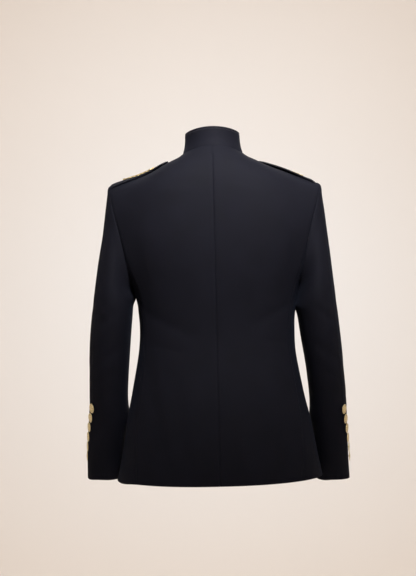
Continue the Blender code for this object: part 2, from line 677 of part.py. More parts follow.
def build_plait(side, strap, flip, rows_per_lobe=4):
    """A band of slanting lobes, the lobes of its two halves half a pitch apart."""
    length = PLAIT_SLEEVE.x - PLAIT_NECK.x
    x = np.linspace(PLAIT_NECK.x, PLAIT_SLEEVE.x, round(length / PLAIT_PITCH * rows_per_lobe) + 1)[:, None]
    along = (x - PLAIT_NECK.x) / length
    half = PLAIT_NECK.half_width + (PLAIT_SLEEVE.half_width - PLAIT_NECK.half_width) * along
    height = PLAIT_NECK.height + (PLAIT_SLEEVE.height - PLAIT_NECK.height) * along
    round_end = np.sqrt(1 - np.clip(np.abs(2 * along - 1), 0, 0.985) ** 8)
    share = np.linspace(-1, 1, 7)
    under, up = strap_frame(strap, x, half * round_end * share)
    phase = (x - PLAIT_NECK.x) / PLAIT_PITCH + 0.5 * np.abs(share) + 0.5 * (share < 0)
    lobe = 1 - PLAIT_GROOVE * (1 - np.abs(np.cos(np.pi * phase)))
    dome = np.sqrt(1 - (0.9 * share) ** 2)
    low = under + up * (STRAP_THICK + LAY_GAP)
    top = low + up * (height * dome * lobe * round_end)[..., None]
    add_piece(f"epaulette_braid_{side}", wall(top * flip, low * flip), "gold_cord")


# Buttons

# Half profile of a button of radius 1: the domed top from its middle, the rolled
# rim, then the flat back. Height is a share of the button's stand.
ButtonPoint = namedtuple("ButtonPoint", "radius height")
BUTTON_PROFILE = (
    ButtonPoint(0.0, 1.0), ButtonPoint(0.45, 0.93), ButtonPoint(0.8, 0.74),
    ButtonPoint(0.97, 0.62), ButtonPoint(1.0, 0.48), ButtonPoint(0.9, 0.38),
    ButtonPoint(0.3, 0.34), ButtonPoint(0.3, 0.0), ButtonPoint(0.0, 0.0),
)


def button_profile(radius):
    """The half profile as a line of edges, turned about Z by each button's Screw."""
    name = f"button_profile_{radius / MM:.0f}"
    found = bpy.data.meshes.get(name)
    if found is None:
        stand = BUTTON_STAND * radius / BUTTON_RADIUS
        points = [(p.radius * radius, 0, p.height * stand) for p in BUTTON_PROFILE]
        found = bpy.data.meshes.new(name)
        found.from_pydata(points, [(i, i + 1) for i in range(len(points) - 1)], [])
    return found


def place_button(name, foot, direction, radius):
    """A button that faces direction, its shank ending a gap clear of the cloth at foot."""
    piece = add_piece(name, button_profile(radius), "gold")
    turn = piece.modifiers.new("turned", "SCREW")
    turn.axis = "Z"
    turn.steps = turn.render_steps = BUTTON_SIDES
    turn.use_merge_vertices = True
    turn.merge_threshold = 0.01 * MM
    turn.use_smooth_shade = True
    out = Vector(direction).normalized()
    piece.rotation_mode = "QUATERNION"
    piece.rotation_quaternion = out.to_track_quat("Z", "Y")
    piece.location = Vector(foot) + out * LAY_GAP


def build_cuff_buttons():
    for side in SLEEVES:
        surface, normal = make_sleeve(side)
        length = (SLEEVES[side][0].z - SLEEVES[side][-1].z) * MM
        for k in range(CUFF_BUTTONS):
            up = CUFF_LOWEST_BUTTON + k * CUFF_BUTTON_PITCH
            t = 2 - up / length
            share = k / (CUFF_BUTTONS - 1)
            turn = CUFF_BUTTON_DEG[0] + (CUFF_BUTTON_DEG[1] - CUFF_BUTTON_DEG[0]) * share
            foot, out = surface(turn, t), normal(turn, t)
            foot = foot - unit(out) * CUFF_BUTTON_PRESS
            place_button(f"cuff_button_{side}_{k + 1}", foot, out, BUTTON_RADIUS)


def build_front_buttons():
    for k, z in enumerate(FRONT_BUTTON_Z):
        level = np.interp(z, [s.front_z * MM for s in TORSO], LEVELS)
        foot, out = torso(180.0, level), torso_normal(180.0, level)
        place_button(f"front_button_{k + 1}", foot, out, BUTTON_RADIUS)


for old in list(bpy.data.objects):
    bpy.data.objects.remove(old)
jacket = bpy.data.collections.new("military_jacket")
bpy.context.scene.collection.children.link(jacket)
build_torso()
build_collar()
build_sleeves()
for strap_side in STRAPS:
    build_strap(strap_side)
build_cuff_buttons()
build_front_buttons()
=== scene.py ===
import math

import bmesh
import bpy
import numpy as np
from mathutils import Matrix, Vector, kdtree, noise
from mathutils.bvhtree import BVHTree


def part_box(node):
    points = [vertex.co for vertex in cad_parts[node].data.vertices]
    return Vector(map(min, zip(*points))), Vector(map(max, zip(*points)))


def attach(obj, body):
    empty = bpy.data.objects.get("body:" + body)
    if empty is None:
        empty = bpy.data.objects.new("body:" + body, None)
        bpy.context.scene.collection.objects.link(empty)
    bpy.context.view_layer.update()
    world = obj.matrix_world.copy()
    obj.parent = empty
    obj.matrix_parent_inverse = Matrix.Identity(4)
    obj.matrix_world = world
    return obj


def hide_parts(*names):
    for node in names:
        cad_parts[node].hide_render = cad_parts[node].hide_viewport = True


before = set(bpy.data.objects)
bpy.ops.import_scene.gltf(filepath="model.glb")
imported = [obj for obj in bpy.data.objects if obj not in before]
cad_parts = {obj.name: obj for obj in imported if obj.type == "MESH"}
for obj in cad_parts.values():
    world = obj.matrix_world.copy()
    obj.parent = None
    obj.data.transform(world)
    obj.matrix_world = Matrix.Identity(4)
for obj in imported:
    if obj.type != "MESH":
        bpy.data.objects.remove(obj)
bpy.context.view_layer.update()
mm = 0.001
print("frame loaded")


# Camera, straight behind the jacket and level with the middle of the picture
camera = {
    "distance": 3.2,  # metres behind the jacket
    "height": -0.289,
    "lens": 92.16,
    "sensor": 36,
    "roll": -1.35,  # degrees, the jacket hangs a little crooked in the picture
    "shiftX": -7.8 / 576,  # the jacket's middle is 7.8 px right of the picture's
}


def placeCamera():
    data = bpy.data.cameras.new("studioCamera")
    data.lens = camera["lens"]
    data.sensor_width = camera["sensor"]
    data.shift_x = camera["shiftX"]
    made = bpy.data.objects.new("studioCamera", data)
    bpy.context.scene.collection.objects.link(made)
    place = Matrix.Translation((0, camera["distance"], camera["height"]))
    turn = Vector((0, -1, 0)).to_track_quat("-Z", "Y").to_matrix().to_4x4()
    made.matrix_world = place @ turn @ Matrix.Rotation(math.radians(camera["roll"]), 4, "Z")
    bpy.context.scene.camera = made


placeCamera()
print("camera placed")


# Colours and nodes
def hexColour(code):
    channels = [int(code[i:i + 2], 16) / 255 for i in (0, 2, 4)]
    return tuple(c / 12.92 if c <= 0.04045 else ((c + 0.055) / 1.055) ** 2.4 for c in channels) + (1,)


def addNode(tree, kind, values=None, links=None, **settings):
    # a link comes from a node's first output, or from the output that is given
    made = tree.nodes.new(kind)
    for name, value in settings.items():
        setattr(made, name, value)
    for name, value in (values or {}).items():
        made.inputs[name].default_value = value
    for name, source in (links or {}).items():
        tree.links.new(getattr(source, "outputs", [source])[0], made.inputs[name])
    return made


def newMaterial(name):
    made = bpy.data.materials.new(name)
    made.use_nodes = True
    made.node_tree.nodes.clear()
    return made, made.node_tree


def finishMaterial(tree, shader):
    addNode(tree, "ShaderNodeOutputMaterial", links={"Surface": shader.outputs[0]})


# Worsted wool in a fine twill, piece-dyed and pressed: nearly black with a blue cast, matt
# face on, with a faint pale bloom where the light grazes it
wool = {
    "dark": "08080b",
    "light": "101017",
    "driftSize": 45,  # mm, the slow unevenness that pressing leaves
    "driftShare": 0.55,
    "heatherSize": 1.6,  # mm, single darker and lighter yarns
    "heatherShare": 0.45,
    "twillPitch": 1.0,  # mm between ribs, about twice the real pitch so that it shows close up
    "twillAngle": 58,  # degrees from the weft, a steep twill
    "yarnPitch": 0.7,  # mm between the steps along a rib
    "yarnShare": 0.35,
    "napSize": 0.35,  # mm
    "napShare": 1.2,
    "relief": 0.05,  # mm
    "reliefStrength": 0.6,
    "roughness": (0.66, 0.78),
    "gloss": 0.04,
    "sheen": 0.012,
    "sheenTint": "9fb0dc",
}


def worstedWool():
    made, tree = newMaterial("worstedWoolTwill")
    cut = addNode(tree, "ShaderNodeUVMap", uv_map="cut")  # the flat cut, in metres
    inMm = addNode(tree, "ShaderNodeVectorMath", {1: (1 / mm,) * 3}, {0: cut}, operation="MULTIPLY")
    place = addNode(tree, "ShaderNodeTexCoord").outputs["Object"]
    drift = addNode(
        tree, "ShaderNodeTexNoise", {"Scale": 1 / (wool["driftSize"] * mm), "Detail": 3}, {"Vector": place},
    )
    heather = addNode(
        tree, "ShaderNodeTexNoise", {"Scale": 1 / wool["heatherSize"], "Detail": 2}, {"Vector": inMm},
    )
    blend = addNode(tree, "ShaderNodeMath", {1: wool["heatherShare"]}, {0: heather}, operation="MULTIPLY")
    blend = addNode(
        tree, "ShaderNodeMath", {1: wool["driftShare"]}, {0: drift, 2: blend}, operation="MULTIPLY_ADD",
    )
    colour = addNode(
        tree, "ShaderNodeMix", {"A": hexColour(wool["dark"]), "B": hexColour(wool["light"])},
        {"Factor": blend}, data_type="RGBA",
    )
    angle = math.radians(wool["twillAngle"])
    across = (math.sin(angle), -math.cos(angle), 0)
    along = (math.cos(angle), math.sin(angle), 0)
    waves = []
    for direction, pitch in ((across, wool["twillPitch"]), (along, wool["yarnPitch"])):
        turns = tuple(part * 2 * math.pi / pitch for part in direction)
        phase = addNode(tree, "ShaderNodeVectorMath", {1: turns}, {0: inMm}, operation="DOT_PRODUCT")
        waves.append(addNode(tree, "ShaderNodeMath", links={0: phase.outputs["Value"]}, operation="SINE"))
    steps = addNode(tree, "ShaderNodeMath", {1: wool["yarnShare"]}, {0: waves[1]}, operation="MULTIPLY")
    ribs = addNode(tree, "ShaderNodeMath", links={0: waves[0], 1: steps}, operation="ADD")
    nap = addNode(tree, "ShaderNodeTexNoise", {"Scale": 1 / wool["napSize"], "Detail": 2}, {"Vector": inMm})
    height = addNode(
        tree, "ShaderNodeMath", {1: wool["napShare"]}, {0: nap, 2: ribs}, operation="MULTIPLY_ADD",
    )
    bump = addNode(
        tree, "ShaderNodeBump",
        {"Strength": wool["reliefStrength"], "Distance": wool["relief"] * mm}, {"Height": height},
    )
    rough = addNode(
        tree, "ShaderNodeMapRange", {"To Min": wool["roughness"][0], "To Max": wool["roughness"][1]},
        {"Value": drift},
    )
    shader = addNode(
        tree, "ShaderNodeBsdfPrincipled",
        {
            "IOR": 1.45, "Specular IOR Level": wool["gloss"], "Sheen Weight": wool["sheen"],
            "Sheen Roughness": 0.45, "Sheen Tint": hexColour(wool["sheenTint"]),
        },
        {"Base Color": colour.outputs["Result"], "Roughness": rough, "Normal": bump},
    )
    finishMaterial(tree, shader)
    return made


# Gilt brass, stamped and lacquered: a warm pale gold, bright on the domes and darker in
# the grooves, where the gilding has dulled
gilt = {
    "bright": "fdf0bf",
    "dull": "84693a",
    "grooveShare": 0.75,
    "blotch": 4,  # mm
    "blotchShare": 0.3,
    "roughness": (0.24, 0.42),
    "scratch": 10 / 9,  # mm, what polishing leaves
    "relief": 0.02,  # mm
    "reliefStrength": 0.15,
}


def giltBrass():
    made, tree = newMaterial("giltBrass")
    place = addNode(tree, "ShaderNodeTexCoord").outputs["Object"]
    groove = addNode(tree, "ShaderNodeAttribute", attribute_name="groove").outputs["Fac"]
    blotch = addNode(
        tree, "ShaderNodeTexNoise", {"Scale": 1 / (gilt["blotch"] * mm), "Detail": 4}, {"Vector": place},
    )
    haze = addNode(tree, "ShaderNodeMath", {1: gilt["blotchShare"]}, {0: blotch}, operation="MULTIPLY")
    dulled = addNode(
        tree, "ShaderNodeMath", {1: gilt["grooveShare"]}, {0: groove, 2: haze},
        operation="MULTIPLY_ADD", use_clamp=True,
    )
    colour = addNode(
        tree, "ShaderNodeMix", {"A": hexColour(gilt["bright"]), "B": hexColour(gilt["dull"])},
        {"Factor": dulled}, data_type="RGBA",
    )
    rough = addNode(
        tree, "ShaderNodeMapRange", {"To Min": gilt["roughness"][0], "To Max": gilt["roughness"][1]},
        {"Value": dulled},
    )
    scratches = addNode(
        tree, "ShaderNodeTexNoise", {"Scale": 1 / (gilt["scratch"] * mm), "Detail": 2}, {"Vector": place},
    )
    bump = addNode(
        tree, "ShaderNodeBump",
        {"Strength": gilt["reliefStrength"], "Distance": gilt["relief"] * mm}, {"Height": scratches},
    )
    shader = addNode(
        tree, "ShaderNodeBsdfPrincipled", {"Metallic": 1},
        {"Base Color": colour.outputs["Result"], "Roughness": rough, "Normal": bump},
    )
    finishMaterial(tree, shader)
    return made


# Gold bullion cord, fine gilt wire wound round a thread core: pale gold with a slanting glint on each
# turn of the wire, partly from the metal and its relief and partly a painted highlight, with painted shade
# between the turns
bullion = {
    # bright is a painted highlight on each turn's crest, and the valley colour is painted shade in the
    # hollows between turns
    "bright": "c2ad78",
    "deep": "6c5a38",
    "roughness": 0.36,
    "wirePitch": 1.1,  # mm, coarser than real wire so that the turns show
    "relief": 0.12,  # mm
    "reliefStrength": 0.8,
}


def bullionCord():
    made, tree = newMaterial("goldBullionCord")
    wound = addNode(tree, "ShaderNodeUVMap", uv_map="wound")  # once round, and metres along
    turns = (2 * math.pi, 2 * math.pi / (bullion["wirePitch"] * mm), 0)
    phase = addNode(tree, "ShaderNodeVectorMath", {1: turns}, {0: wound}, operation="DOT_PRODUCT")
    wire = addNode(tree, "ShaderNodeMath", links={0: phase.outputs["Value"]}, operation="SINE")
    share = addNode(tree, "ShaderNodeMapRange", {"From Min": -1, "From Max": 1}, {"Value": wire})
    # painted light: the colour follows the wire's turns, a painted highlight on each crest and painted shade
    # in each hollow
    colour = addNode(
        tree, "ShaderNodeMix", {"A": hexColour(bullion["deep"]), "B": hexColour(bullion["bright"])},
        {"Factor": share}, data_type="RGBA",
    )
    bump = addNode(
        tree, "ShaderNodeBump",
        {"Strength": bullion["reliefStrength"], "Distance": bullion["relief"] * mm}, {"Height": share},
    )
    shader = addNode(
        tree, "ShaderNodeBsdfPrincipled", {"Metallic": 0.9, "Roughness": bullion["roughness"]},
        {"Base Color": colour.outputs["Result"], "Normal": bump},
    )
    finishMaterial(tree, shader)
    return made


# Mercerised cotton thread, black, twisted: a little glossier than the wool
cotton = {
    "dark": "0d0d11",
    "light": "1b1b22",
    "fibre": 0.4,  # mm
    "roughness": 0.5,
    "sheen": 0.1,
    "relief": 0.05,  # mm
    "reliefStrength": 0.5,
}


def blackThread():
    made, tree = newMaterial("blackCottonThread")
    place = addNode(tree, "ShaderNodeTexCoord").outputs["Object"]
    fibre = addNode(
        tree, "ShaderNodeTexNoise", {"Scale": 1 / (cotton["fibre"] * mm), "Detail": 2}, {"Vector": place},
    )
    colour = addNode(
        tree, "ShaderNodeMix", {"A": hexColour(cotton["dark"]), "B": hexColour(cotton["light"])},
        {"Factor": fibre}, data_type="RGBA",
    )
    bump = addNode(
        tree, "ShaderNodeBump",
        {"Strength": cotton["reliefStrength"], "Distance": cotton["relief"] * mm}, {"Height": fibre},
    )
    shader = addNode(
        tree, "ShaderNodeBsdfPrincipled", {"Roughness": cotton["roughness"], "Sheen Weight": cotton["sheen"]},
        {"Base Color": colour.outputs["Result"], "Normal": bump},
    )
    finishMaterial(tree, shader)
    return made


woolCloth, brass, cord, thread = worstedWool(), giltBrass(), bullionCord(), blackThread()
print("materials made")


# Meshes as arrays
def readPoints(mesh):
    points = np.empty(len(mesh.vertices) * 3)
    mesh.vertices.foreach_get("co", points)
    return points.reshape(-1, 3)


def readNormals(mesh):
    normals = np.empty(len(mesh.vertices) * 3)
    mesh.vertex_normals.foreach_get("vector", normals)
    return normals.reshape(-1, 3)


def writePoints(mesh, points):
    mesh.vertices.foreach_set("co", points.astype(np.float32).ravel())
    mesh.update()


def ease(share):
    share = np.clip(share, 0, 1)
    return share * share * (3 - 2 * share)


def selectOnly(piece):
    bpy.ops.object.select_all(action="DESELECT")
    piece.select_set(True)
    bpy.context.view_layer.objects.active = piece


def applyModifier(piece, name, kind, **settings):
    added = piece.modifiers.new(name, kind)
    for setting, value in settings.items():
        setattr(added, setting, value)
    selectOnly(piece)
    bpy.ops.object.modifier_apply(modifier=added.name)


def newPiece(name, mesh):
    piece = bpy.data.objects.new(name, mesh)
    bpy.context.scene.collection.objects.link(piece)
    return piece


def settle(piece, node=None):
    # hides the CAD node that a piece stands for, when one is given, and hangs the piece on the root body
    if node is not None:
        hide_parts(node)
    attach(piece, "root")


def groundOf(piece):
    return BVHTree.FromObject(piece, bpy.context.evaluated_depsgraph_get())


def plumb(ground, x, y):
    # the cloth straight under a place, and the way it faces
    return ground.ray_cast(Vector((x, y, 0.2)), Vector((0, 0, -1)))[:2]


def noiseAt(points, size, seed=(0, 0, 0)):
    # the same at a place on every panel, so that sewn edges stay together
    seed = Vector(seed)
    return np.array([noise.noise(Vector(point) / size + seed) for point in points])


def profileMesh(name, profile):
    # a line of radius and height, to be turned about the upright axis
    mesh = bpy.data.meshes.new(name)
    mesh.from_pydata([(r, 0, z) for r, z in profile], [(i, i + 1) for i in range(len(profile) - 1)], [])
    return mesh


def lengthAlong(line):
    return np.concatenate([[0], np.cumsum(np.linalg.norm(np.diff(line, axis=0), axis=1))])


# Cloth: each panel starts as the outer face of its CAD wall, is unwrapped to its flat cut,
# rounded, folded and pressed in at its seams, and gets its thickness back at the end
cloth = {
    "thickness": 1.7 * mm,
    "levels": 3,  # halvings of the CAD wall's quads
    "merge": 0.01 * mm,  # points nearer than this are one
    "rimDegrees": 50,  # a wall's rim meets its faces at more than this
    "seamReach": 8 * mm,  # edges this near to another panel's edge are sewn to it
    "seamSquare": 0.75,  # unless they point at it end on, 0 is square and 1 end on
    "seamTouch": 0.8 * mm,  # this near they are sewn all the same
    "seamEase": 14 * mm,  # how far in the cloth follows an edge that is drawn to another
    "seamDip": 1.1 * mm,  # the stitches pull the edges in by this much
    "seamLap": 0.1 * mm,  # sewn edges pass the middle by this, so that no light comes through
    "seamWidth": 4.5 * mm,
    "seamPile": 0.25 * mm,  # the turned-in edges lift the cloth beside a seam
    "seamRidge": (2, 0.8),  # where that ridge stands and how wide it is, in seam widths
    # the collar seam is pressed flat
    "flatSeam": {"above": -12 * mm, "over": 14 * mm, "within": 78 * mm, "share": 0.3},
    "puckerDepth": 0.16 * mm,
    "puckerWidth": 11 * mm,
    "puckerEase": 0.3,  # share of that width
    "puckerPitch": 13 * mm,
    "edgeRound": 0.6 * mm,
    "fairing": 14,  # rounds that even out the CAD wall's facets, with its edges kept
    "fairingSteps": (0.5, -0.52),  # inward, and a little more outward
    "tipFairing": 30,  # more of them where the back rolls over to the shoulder's tip
    "shoulderTips": ((197, 60, -69), (-197, 60, -69)),
    "tipReach": 38 * mm,
    "swell": 0.7 * mm,  # slow unevenness of worn cloth
    "swellSize": 95 * mm,
    "ripple": 0.1 * mm,
    "rippleSize": 30 * mm,
}
panels = {
    "backLeft": "back_left", "backRight": "back_right",
    "sideLeft": "side_left", "sideRight": "side_right",
    "frontLeft": "front_left", "frontRight": "front_right",
    "topSleeveLeft": "top_sleeve_left", "topSleeveRight": "top_sleeve_right",
    "underSleeveLeft": "under_sleeve_left", "underSleeveRight": "under_sleeve_right",
    "standCollar": "collar",
    "shoulderStrapLeft": "epaulette_left", "shoulderStrapRight": "epaulette_right",
}
thickPanels = {"standCollar": 2.8 * mm, "shoulderStrapLeft": 2.8 * mm, "shoulderStrapRight": 2.8 * mm}


def wallSides(wall):
    # the faces of a wall in groups that meet along no sharp edge
    unseen, sides = set(wall.faces), []
    limit = math.radians(cloth["rimDegrees"])
    while unseen:
        start = unseen.pop()
        side, reach = [start], [start]
        while reach:
            face = reach.pop()
            for edge in face.edges:
                for other in edge.link_faces:
                    if other in unseen and face.normal.angle(other.normal) < limit:
                        unseen.discard(other)
                        side.append(other)
                        reach.append(other)
        sides.append(side)
    return sides


def outerSheet(name, node, facing):
    # facing picks the top of a flat piece, whose two faces are alike in size
    wall = bmesh.new()
    wall.from_mesh(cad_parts[node].data)
    bmesh.ops.remove_doubles(wall, verts=wall.verts, dist=cloth["merge"])
    wall.normal_update()
    sides = wallSides(wall)

    def weight(side):
        return sum(face.calc_area() * (1 + 0.5 * face.normal.dot(facing)) for face in side)

    outer = set(max(sides, key=weight))
    for side in sides:
        # a lone facet that is creased more than a rim still belongs to the face around it
        if len(side) < 4 and all(any(f in outer for e in face.edges for f in e.link_faces) for face in side):
            shared = sum(any(f in outer for f in edge.link_faces) for face in side for edge in face.edges)
            if shared > 1:
                outer.update(side)
    bmesh.ops.delete(wall, geom=[f for f in wall.faces if f not in outer], context="FACES")
    bmesh.ops.join_triangles(
        wall, faces=wall.faces, angle_face_threshold=math.pi, angle_shape_threshold=math.pi,
    )
    mesh = bpy.data.meshes.new(name)
    wall.to_mesh(mesh)
    wall.free()
    return newPiece(name, mesh)


def polygonArea(corners):
    x, y = corners[:, 0], corners[:, 1]
    return 0.5 * float(np.dot(x, np.roll(y, -1)) - np.dot(y, np.roll(x, -1)))


def rimEdges(mesh):
    counts = {}
    for face in mesh.polygons:
        for key in face.edge_keys:
            counts[key] = counts.get(key, 0) + 1
    return [key for key, count in counts.items() if count == 1]


def unwrapCut(piece):
    # the flat cut as a UV map, turned so that the lengthwise grain runs up, in metres
    mesh = piece.data
    mesh.uv_layers.new(name="cut")
    selectOnly(piece)
    bpy.ops.object.mode_set(mode="EDIT")
    bpy.ops.mesh.select_all(action="SELECT")
    bpy.ops.uv.unwrap(method="ANGLE_BASED", margin=0)
    bpy.ops.object.mode_set(mode="OBJECT")
    layer = mesh.uv_layers["cut"]
    flat = np.empty(len(layer.uv) * 2)
    layer.uv.foreach_get("vector", flat)
    flat = flat.reshape(-1, 2)
    corners = np.empty(len(mesh.loops), dtype=int)
    mesh.loops.foreach_get("vertex_index", corners)
    points = readPoints(mesh)[corners]
    drawn = sum(polygonArea(flat[list(face.loop_indices)]) for face in mesh.polygons)
    real = sum(face.area for face in mesh.polygons)
    flat = flat * math.sqrt(real / abs(drawn))
    centred = flat - flat.mean(0)
    grain = points[:, 0] if piece.name.startswith("shoulderStrap") else points[:, 2]
    up = np.linalg.lstsq(centred, grain - grain.mean(), rcond=None)[0]
    up = up / np.linalg.norm(up)
    flat = centred @ np.array([[up[1], up[0]], [-up[0], up[1]]])
    layer.uv.foreach_set("vector", flat.astype(np.float32).ravel())
    return flat.max(0) - flat.min(0), real


def fairSheet(mesh):
    # evens out the inner points in turns inward and outward, which keeps the size
    points = readPoints(mesh)
    ends = np.array([edge.vertices[:] for edge in mesh.edges])
    free = np.ones(len(points), bool)
    free[np.array(rimEdges(mesh)).ravel()] = False
    meeting = np.bincount(ends.ravel(), minlength=len(points))[:, None]
    tips = [np.linalg.norm(points - np.array(tip) * mm, axis=1) for tip in cloth["shoulderTips"]]
    slack = np.exp(-(np.min(tips, axis=0) / cloth["tipReach"]) ** 2)[:, None]
    inward, outward = cloth["fairingSteps"]
    steps = [(inward, slack)] * cloth["tipFairing"] + [(inward, 1), (outward, 1)] * cloth["fairing"]
    for step, share in steps:
        around = np.zeros_like(points)
        np.add.at(around, ends[:, 0], points[ends[:, 1]])
        np.add.at(around, ends[:, 1], points[ends[:, 0]])
        points[free] += (step * share * (around / meeting - points))[free]
    writePoints(mesh, points)


def treeOf(points):
    tree = kdtree.KDTree(len(points))
    for index, point in enumerate(points):
        tree.insert(point, index)
    tree.balance()
    return tree


# Soft folds, back and front and on the sleeves. Each is drawn on the side that it faces, from
# one end to the other in mm across and up, and is hollow or, below 0, raised
def fold(face, start, end, width, depth):
    return {"face": face, "start": start, "end": end, "width": width, "depth": depth}


faces = {"back": (0, 1, 0), "front": (0, -1, 0), "leftSide": (1, 0, 0), "rightSide": (-1, 0, 0)}
torsoFolds = [
    fold("back", (150, -452), (112, -690), 19, 2.4),
    fold("back", (96, -470), (70, -700), 22, 1.8),
    fold("back", (-62, -480), (-84, -700), 24, 1.9),
    fold("back", (-128, -500), (-158, -690), 18, 2.0),
    fold("back", (168, -330), (60, -388), 15, 1.5),
    fold("back", (-166, -322), (-74, -372), 14, 1.4),
    fold("back", (150, -405), (70, -425), 11, 0.9),
    fold("back", (-148, -410), (-88, -398), 10, 0.8),
    fold("back", (176, -150), (150, -300), 17, 1.5),
    fold("back", (-178, -160), (-154, -292), 16, 1.4),
    fold("back", (120, -70), (30, -62), 15, 0.9),
    fold("back", (-126, -74), (-36, -60), 15, 0.9),
    fold("front", (150, -300), (40, -350), 14, 1.4),
    fold("front", (-146, -292), (-46, -338), 14, 1.3),
    fold("front", (140, -395), (52, -412), 12, 1.1),
    fold("front", (-138, -402), (-58, -420), 11, 1.0),
    fold("front", (110, -440), (128, -690), 20, 2.0),
    fold("front", (-106, -446), (-122, -690), 20, 1.9),
    fold("front", (168, -140), (140, -270), 16, 1.4),
    fold("front", (-170, -146), (-138, -262), 16, 1.4),
]
sleeveFolds = [
    fold("back", (206, -330), (258, -372), 11, 1.3),
    fold("back", (204, -408), (262, -452), 12, 1.5),
    fold("back", (216, -462), (270, -498), 10, 1.0),
    fold("back", (226, -560), (280, -610), 13, 1.0),
    fold("front", (200, -372), (262, -398), 10, 1.9),
    fold("front", (198, -420), (270, -431), 11, 2.4),
    fold("front", (204, -466), (272, -458), 10, 1.9),
    fold("front", (214, -520), (276, -546), 12, 1.2),
    fold("leftSide", (-52, -250), (12, -330), 14, 1.1),
    fold("leftSide", (40, -420), (-10, -470), 12, 1.1),
    fold("leftSide", (-62, -480), (-22, -540), 11, 1.0),
    fold("back", (226, -350), (262, -318), 9, -0.9),
    fold("back", (232, -392), (268, -352), 9, -0.8),
]

foldShape = {
    "beside": 0.75,  # the cloth beside a fold rises by this share of it
    "ends": 0.25,  # its depth at its two ends
    "wander": 0.35,  # its width wanders by this share
    "wanderSize": 40 * mm,
    "facing": (0.25, 0.45),  # it fades where the cloth turns away
}


def foldDepths(points, normals, folds, mirror):
    # mirror is -1 on the right, where the folds are the left sleeve's turned over
    total = np.zeros(len(points))
    turned, fade = foldShape["facing"]
    for row in folds:
        side = np.array(faces[row["face"]], float) * (mirror, 1, 1)
        across = points[:, 0] * mirror if abs(side[1]) > 0 else points[:, 1]
        place = np.stack([across, points[:, 2]], -1)
        start, end = np.array(row["start"], float) * mm, np.array(row["end"], float) * mm
        run = end - start
        share = np.clip(((place - start) @ run) / (run @ run), 0, 1)
        off = np.linalg.norm(place - start - share[:, None] * run, axis=1)
        width = row["width"] * mm
        near = off < 3 * width
        wander = np.zeros(len(points))
        wander[near] = noiseAt(points[near], foldShape["wanderSize"], (row["width"], *row["start"]))
        spread = off / width * (1 + foldShape["wander"] * wander)
        profile = (1 - foldShape["beside"] * spread**2) * np.exp(-spread**2)
        taper = foldShape["ends"] + (1 - foldShape["ends"]) * np.sin(np.pi * share) ** 0.8
        total += row["depth"] * mm * profile * taper * ease((normals @ side - turned) / fade)
    return total


def unevenness(points):
    slow = noiseAt(points, cloth["swellSize"])
    quick = noiseAt(points, cloth["rippleSize"], (7, 3, 1))
    return cloth["swell"] * slow + cloth["ripple"] * quick


def pressSeams(points, normals, sewn):
    # sewn edges sink, with a low ridge and small puckers beside them
    tree = treeOf([points[i] for i in sewn])
    away = np.array([tree.find(p)[2] for p in points])
    ridge, spread = cloth["seamRidge"]
    dip = cloth["seamDip"] * np.clip(1 - away / cloth["seamWidth"], 0, 1) ** 2
    dip = dip - cloth["seamPile"] * np.exp(-((away / cloth["seamWidth"] - ridge) / spread) ** 2)
    flat = cloth["flatSeam"]
    collar = ease((points[:, 2] - flat["above"]) / flat["over"]) * (np.abs(points[:, 0]) < flat["within"])
    dip = dip * (1 - (1 - flat["share"]) * collar)
    width = cloth["puckerWidth"]
    beside = np.clip(away / (cloth["puckerEase"] * width), 0, 1) * ease(1 - away / width)
    pucker = np.zeros(len(points))
    near = away < width
    pucker[near] = noiseAt(points[near], cloth["puckerPitch"], (2, 9, 4))
    return points - normals * (dip + cloth["puckerDepth"] * beside * pucker)[:, None]


def nearestOnRun(point, run):
    # the closest place on another panel's edge
    tree, starts, ends = run
    best, least = None, 1.0
    for _, index, _ in tree.find_n(point, 4):
        along = ends[index] - starts[index]
        share = np.clip((point - starts[index]) @ along / max(along @ along, 1e-18), 0, 1)
        place = starts[index] + share * along
        if np.linalg.norm(point - place) < least:
            best, least = place, np.linalg.norm(point - place)
    return best, least


def runsOf(points, rims):
    runs = {}
    for name, edges in rims.items():
        starts = np.array([points[name][a] for a, b in edges])
        ends = np.array([points[name][b] for a, b in edges])
        runs[name] = (treeOf((starts + ends) / 2), starts, ends)
    return runs


def sewnEdges(points, rims):
    # the edge points that lie beside another panel's edge, each with that panel
    lap = {"frontLeft", "frontRight"}  # these two are only buttoned
    runs, sewn = runsOf(points, rims), {}
    for name, edges in rims.items():
        beside = {}
        for a, b in edges:
            beside.setdefault(a, []).append(b)
            beside.setdefault(b, []).append(a)
        sewn[name] = {}
        others = [other for other in runs if other != name and {name, other} != lap]
        for i, pair in beside.items():
            met = [(*nearestOnRun(points[name][i], runs[other]), other) for other in others]
            place, least, other = min(met, key=lambda found: found[1])
            along = points[name][pair[0]] - points[name][pair[-1]]
            aim = place - points[name][i]
            level = abs(along @ aim) / max(np.linalg.norm(along) * least, 1e-12)
            if least < cloth["seamReach"] and (level < cloth["seamSquare"] or least < cloth["seamTouch"]):
                sewn[name][i] = other
    return sewn


def closeSeams(points, rims, sewn):
    # each sewn edge meets its neighbour's halfway, and the cloth beside it follows
    runs = runsOf(points, rims)
    closed = {}
    for name, edges in sewn.items():
        order = list(edges)
        shifts = np.array([nearestOnRun(points[name][i], runs[edges[i]])[0] - points[name][i] for i in order])
        gaps = np.linalg.norm(shifts, axis=1)
        shifts *= (0.5 + cloth["seamLap"] / np.maximum(gaps, 2 * cloth["seamLap"]))[:, None]
        tree = treeOf([points[name][i] for i in order])
        found = [tree.find(p) for p in points[name]]
        away = np.array([f[2] for f in found])
        share = ease(1 - away / cloth["seamEase"])
        closed[name] = points[name] + shifts[[f[1] for f in found]] * share[:, None]
        print(name, "sewn", len(order), "widest gap", round(1000 * gaps.max(), 2))
    return closed


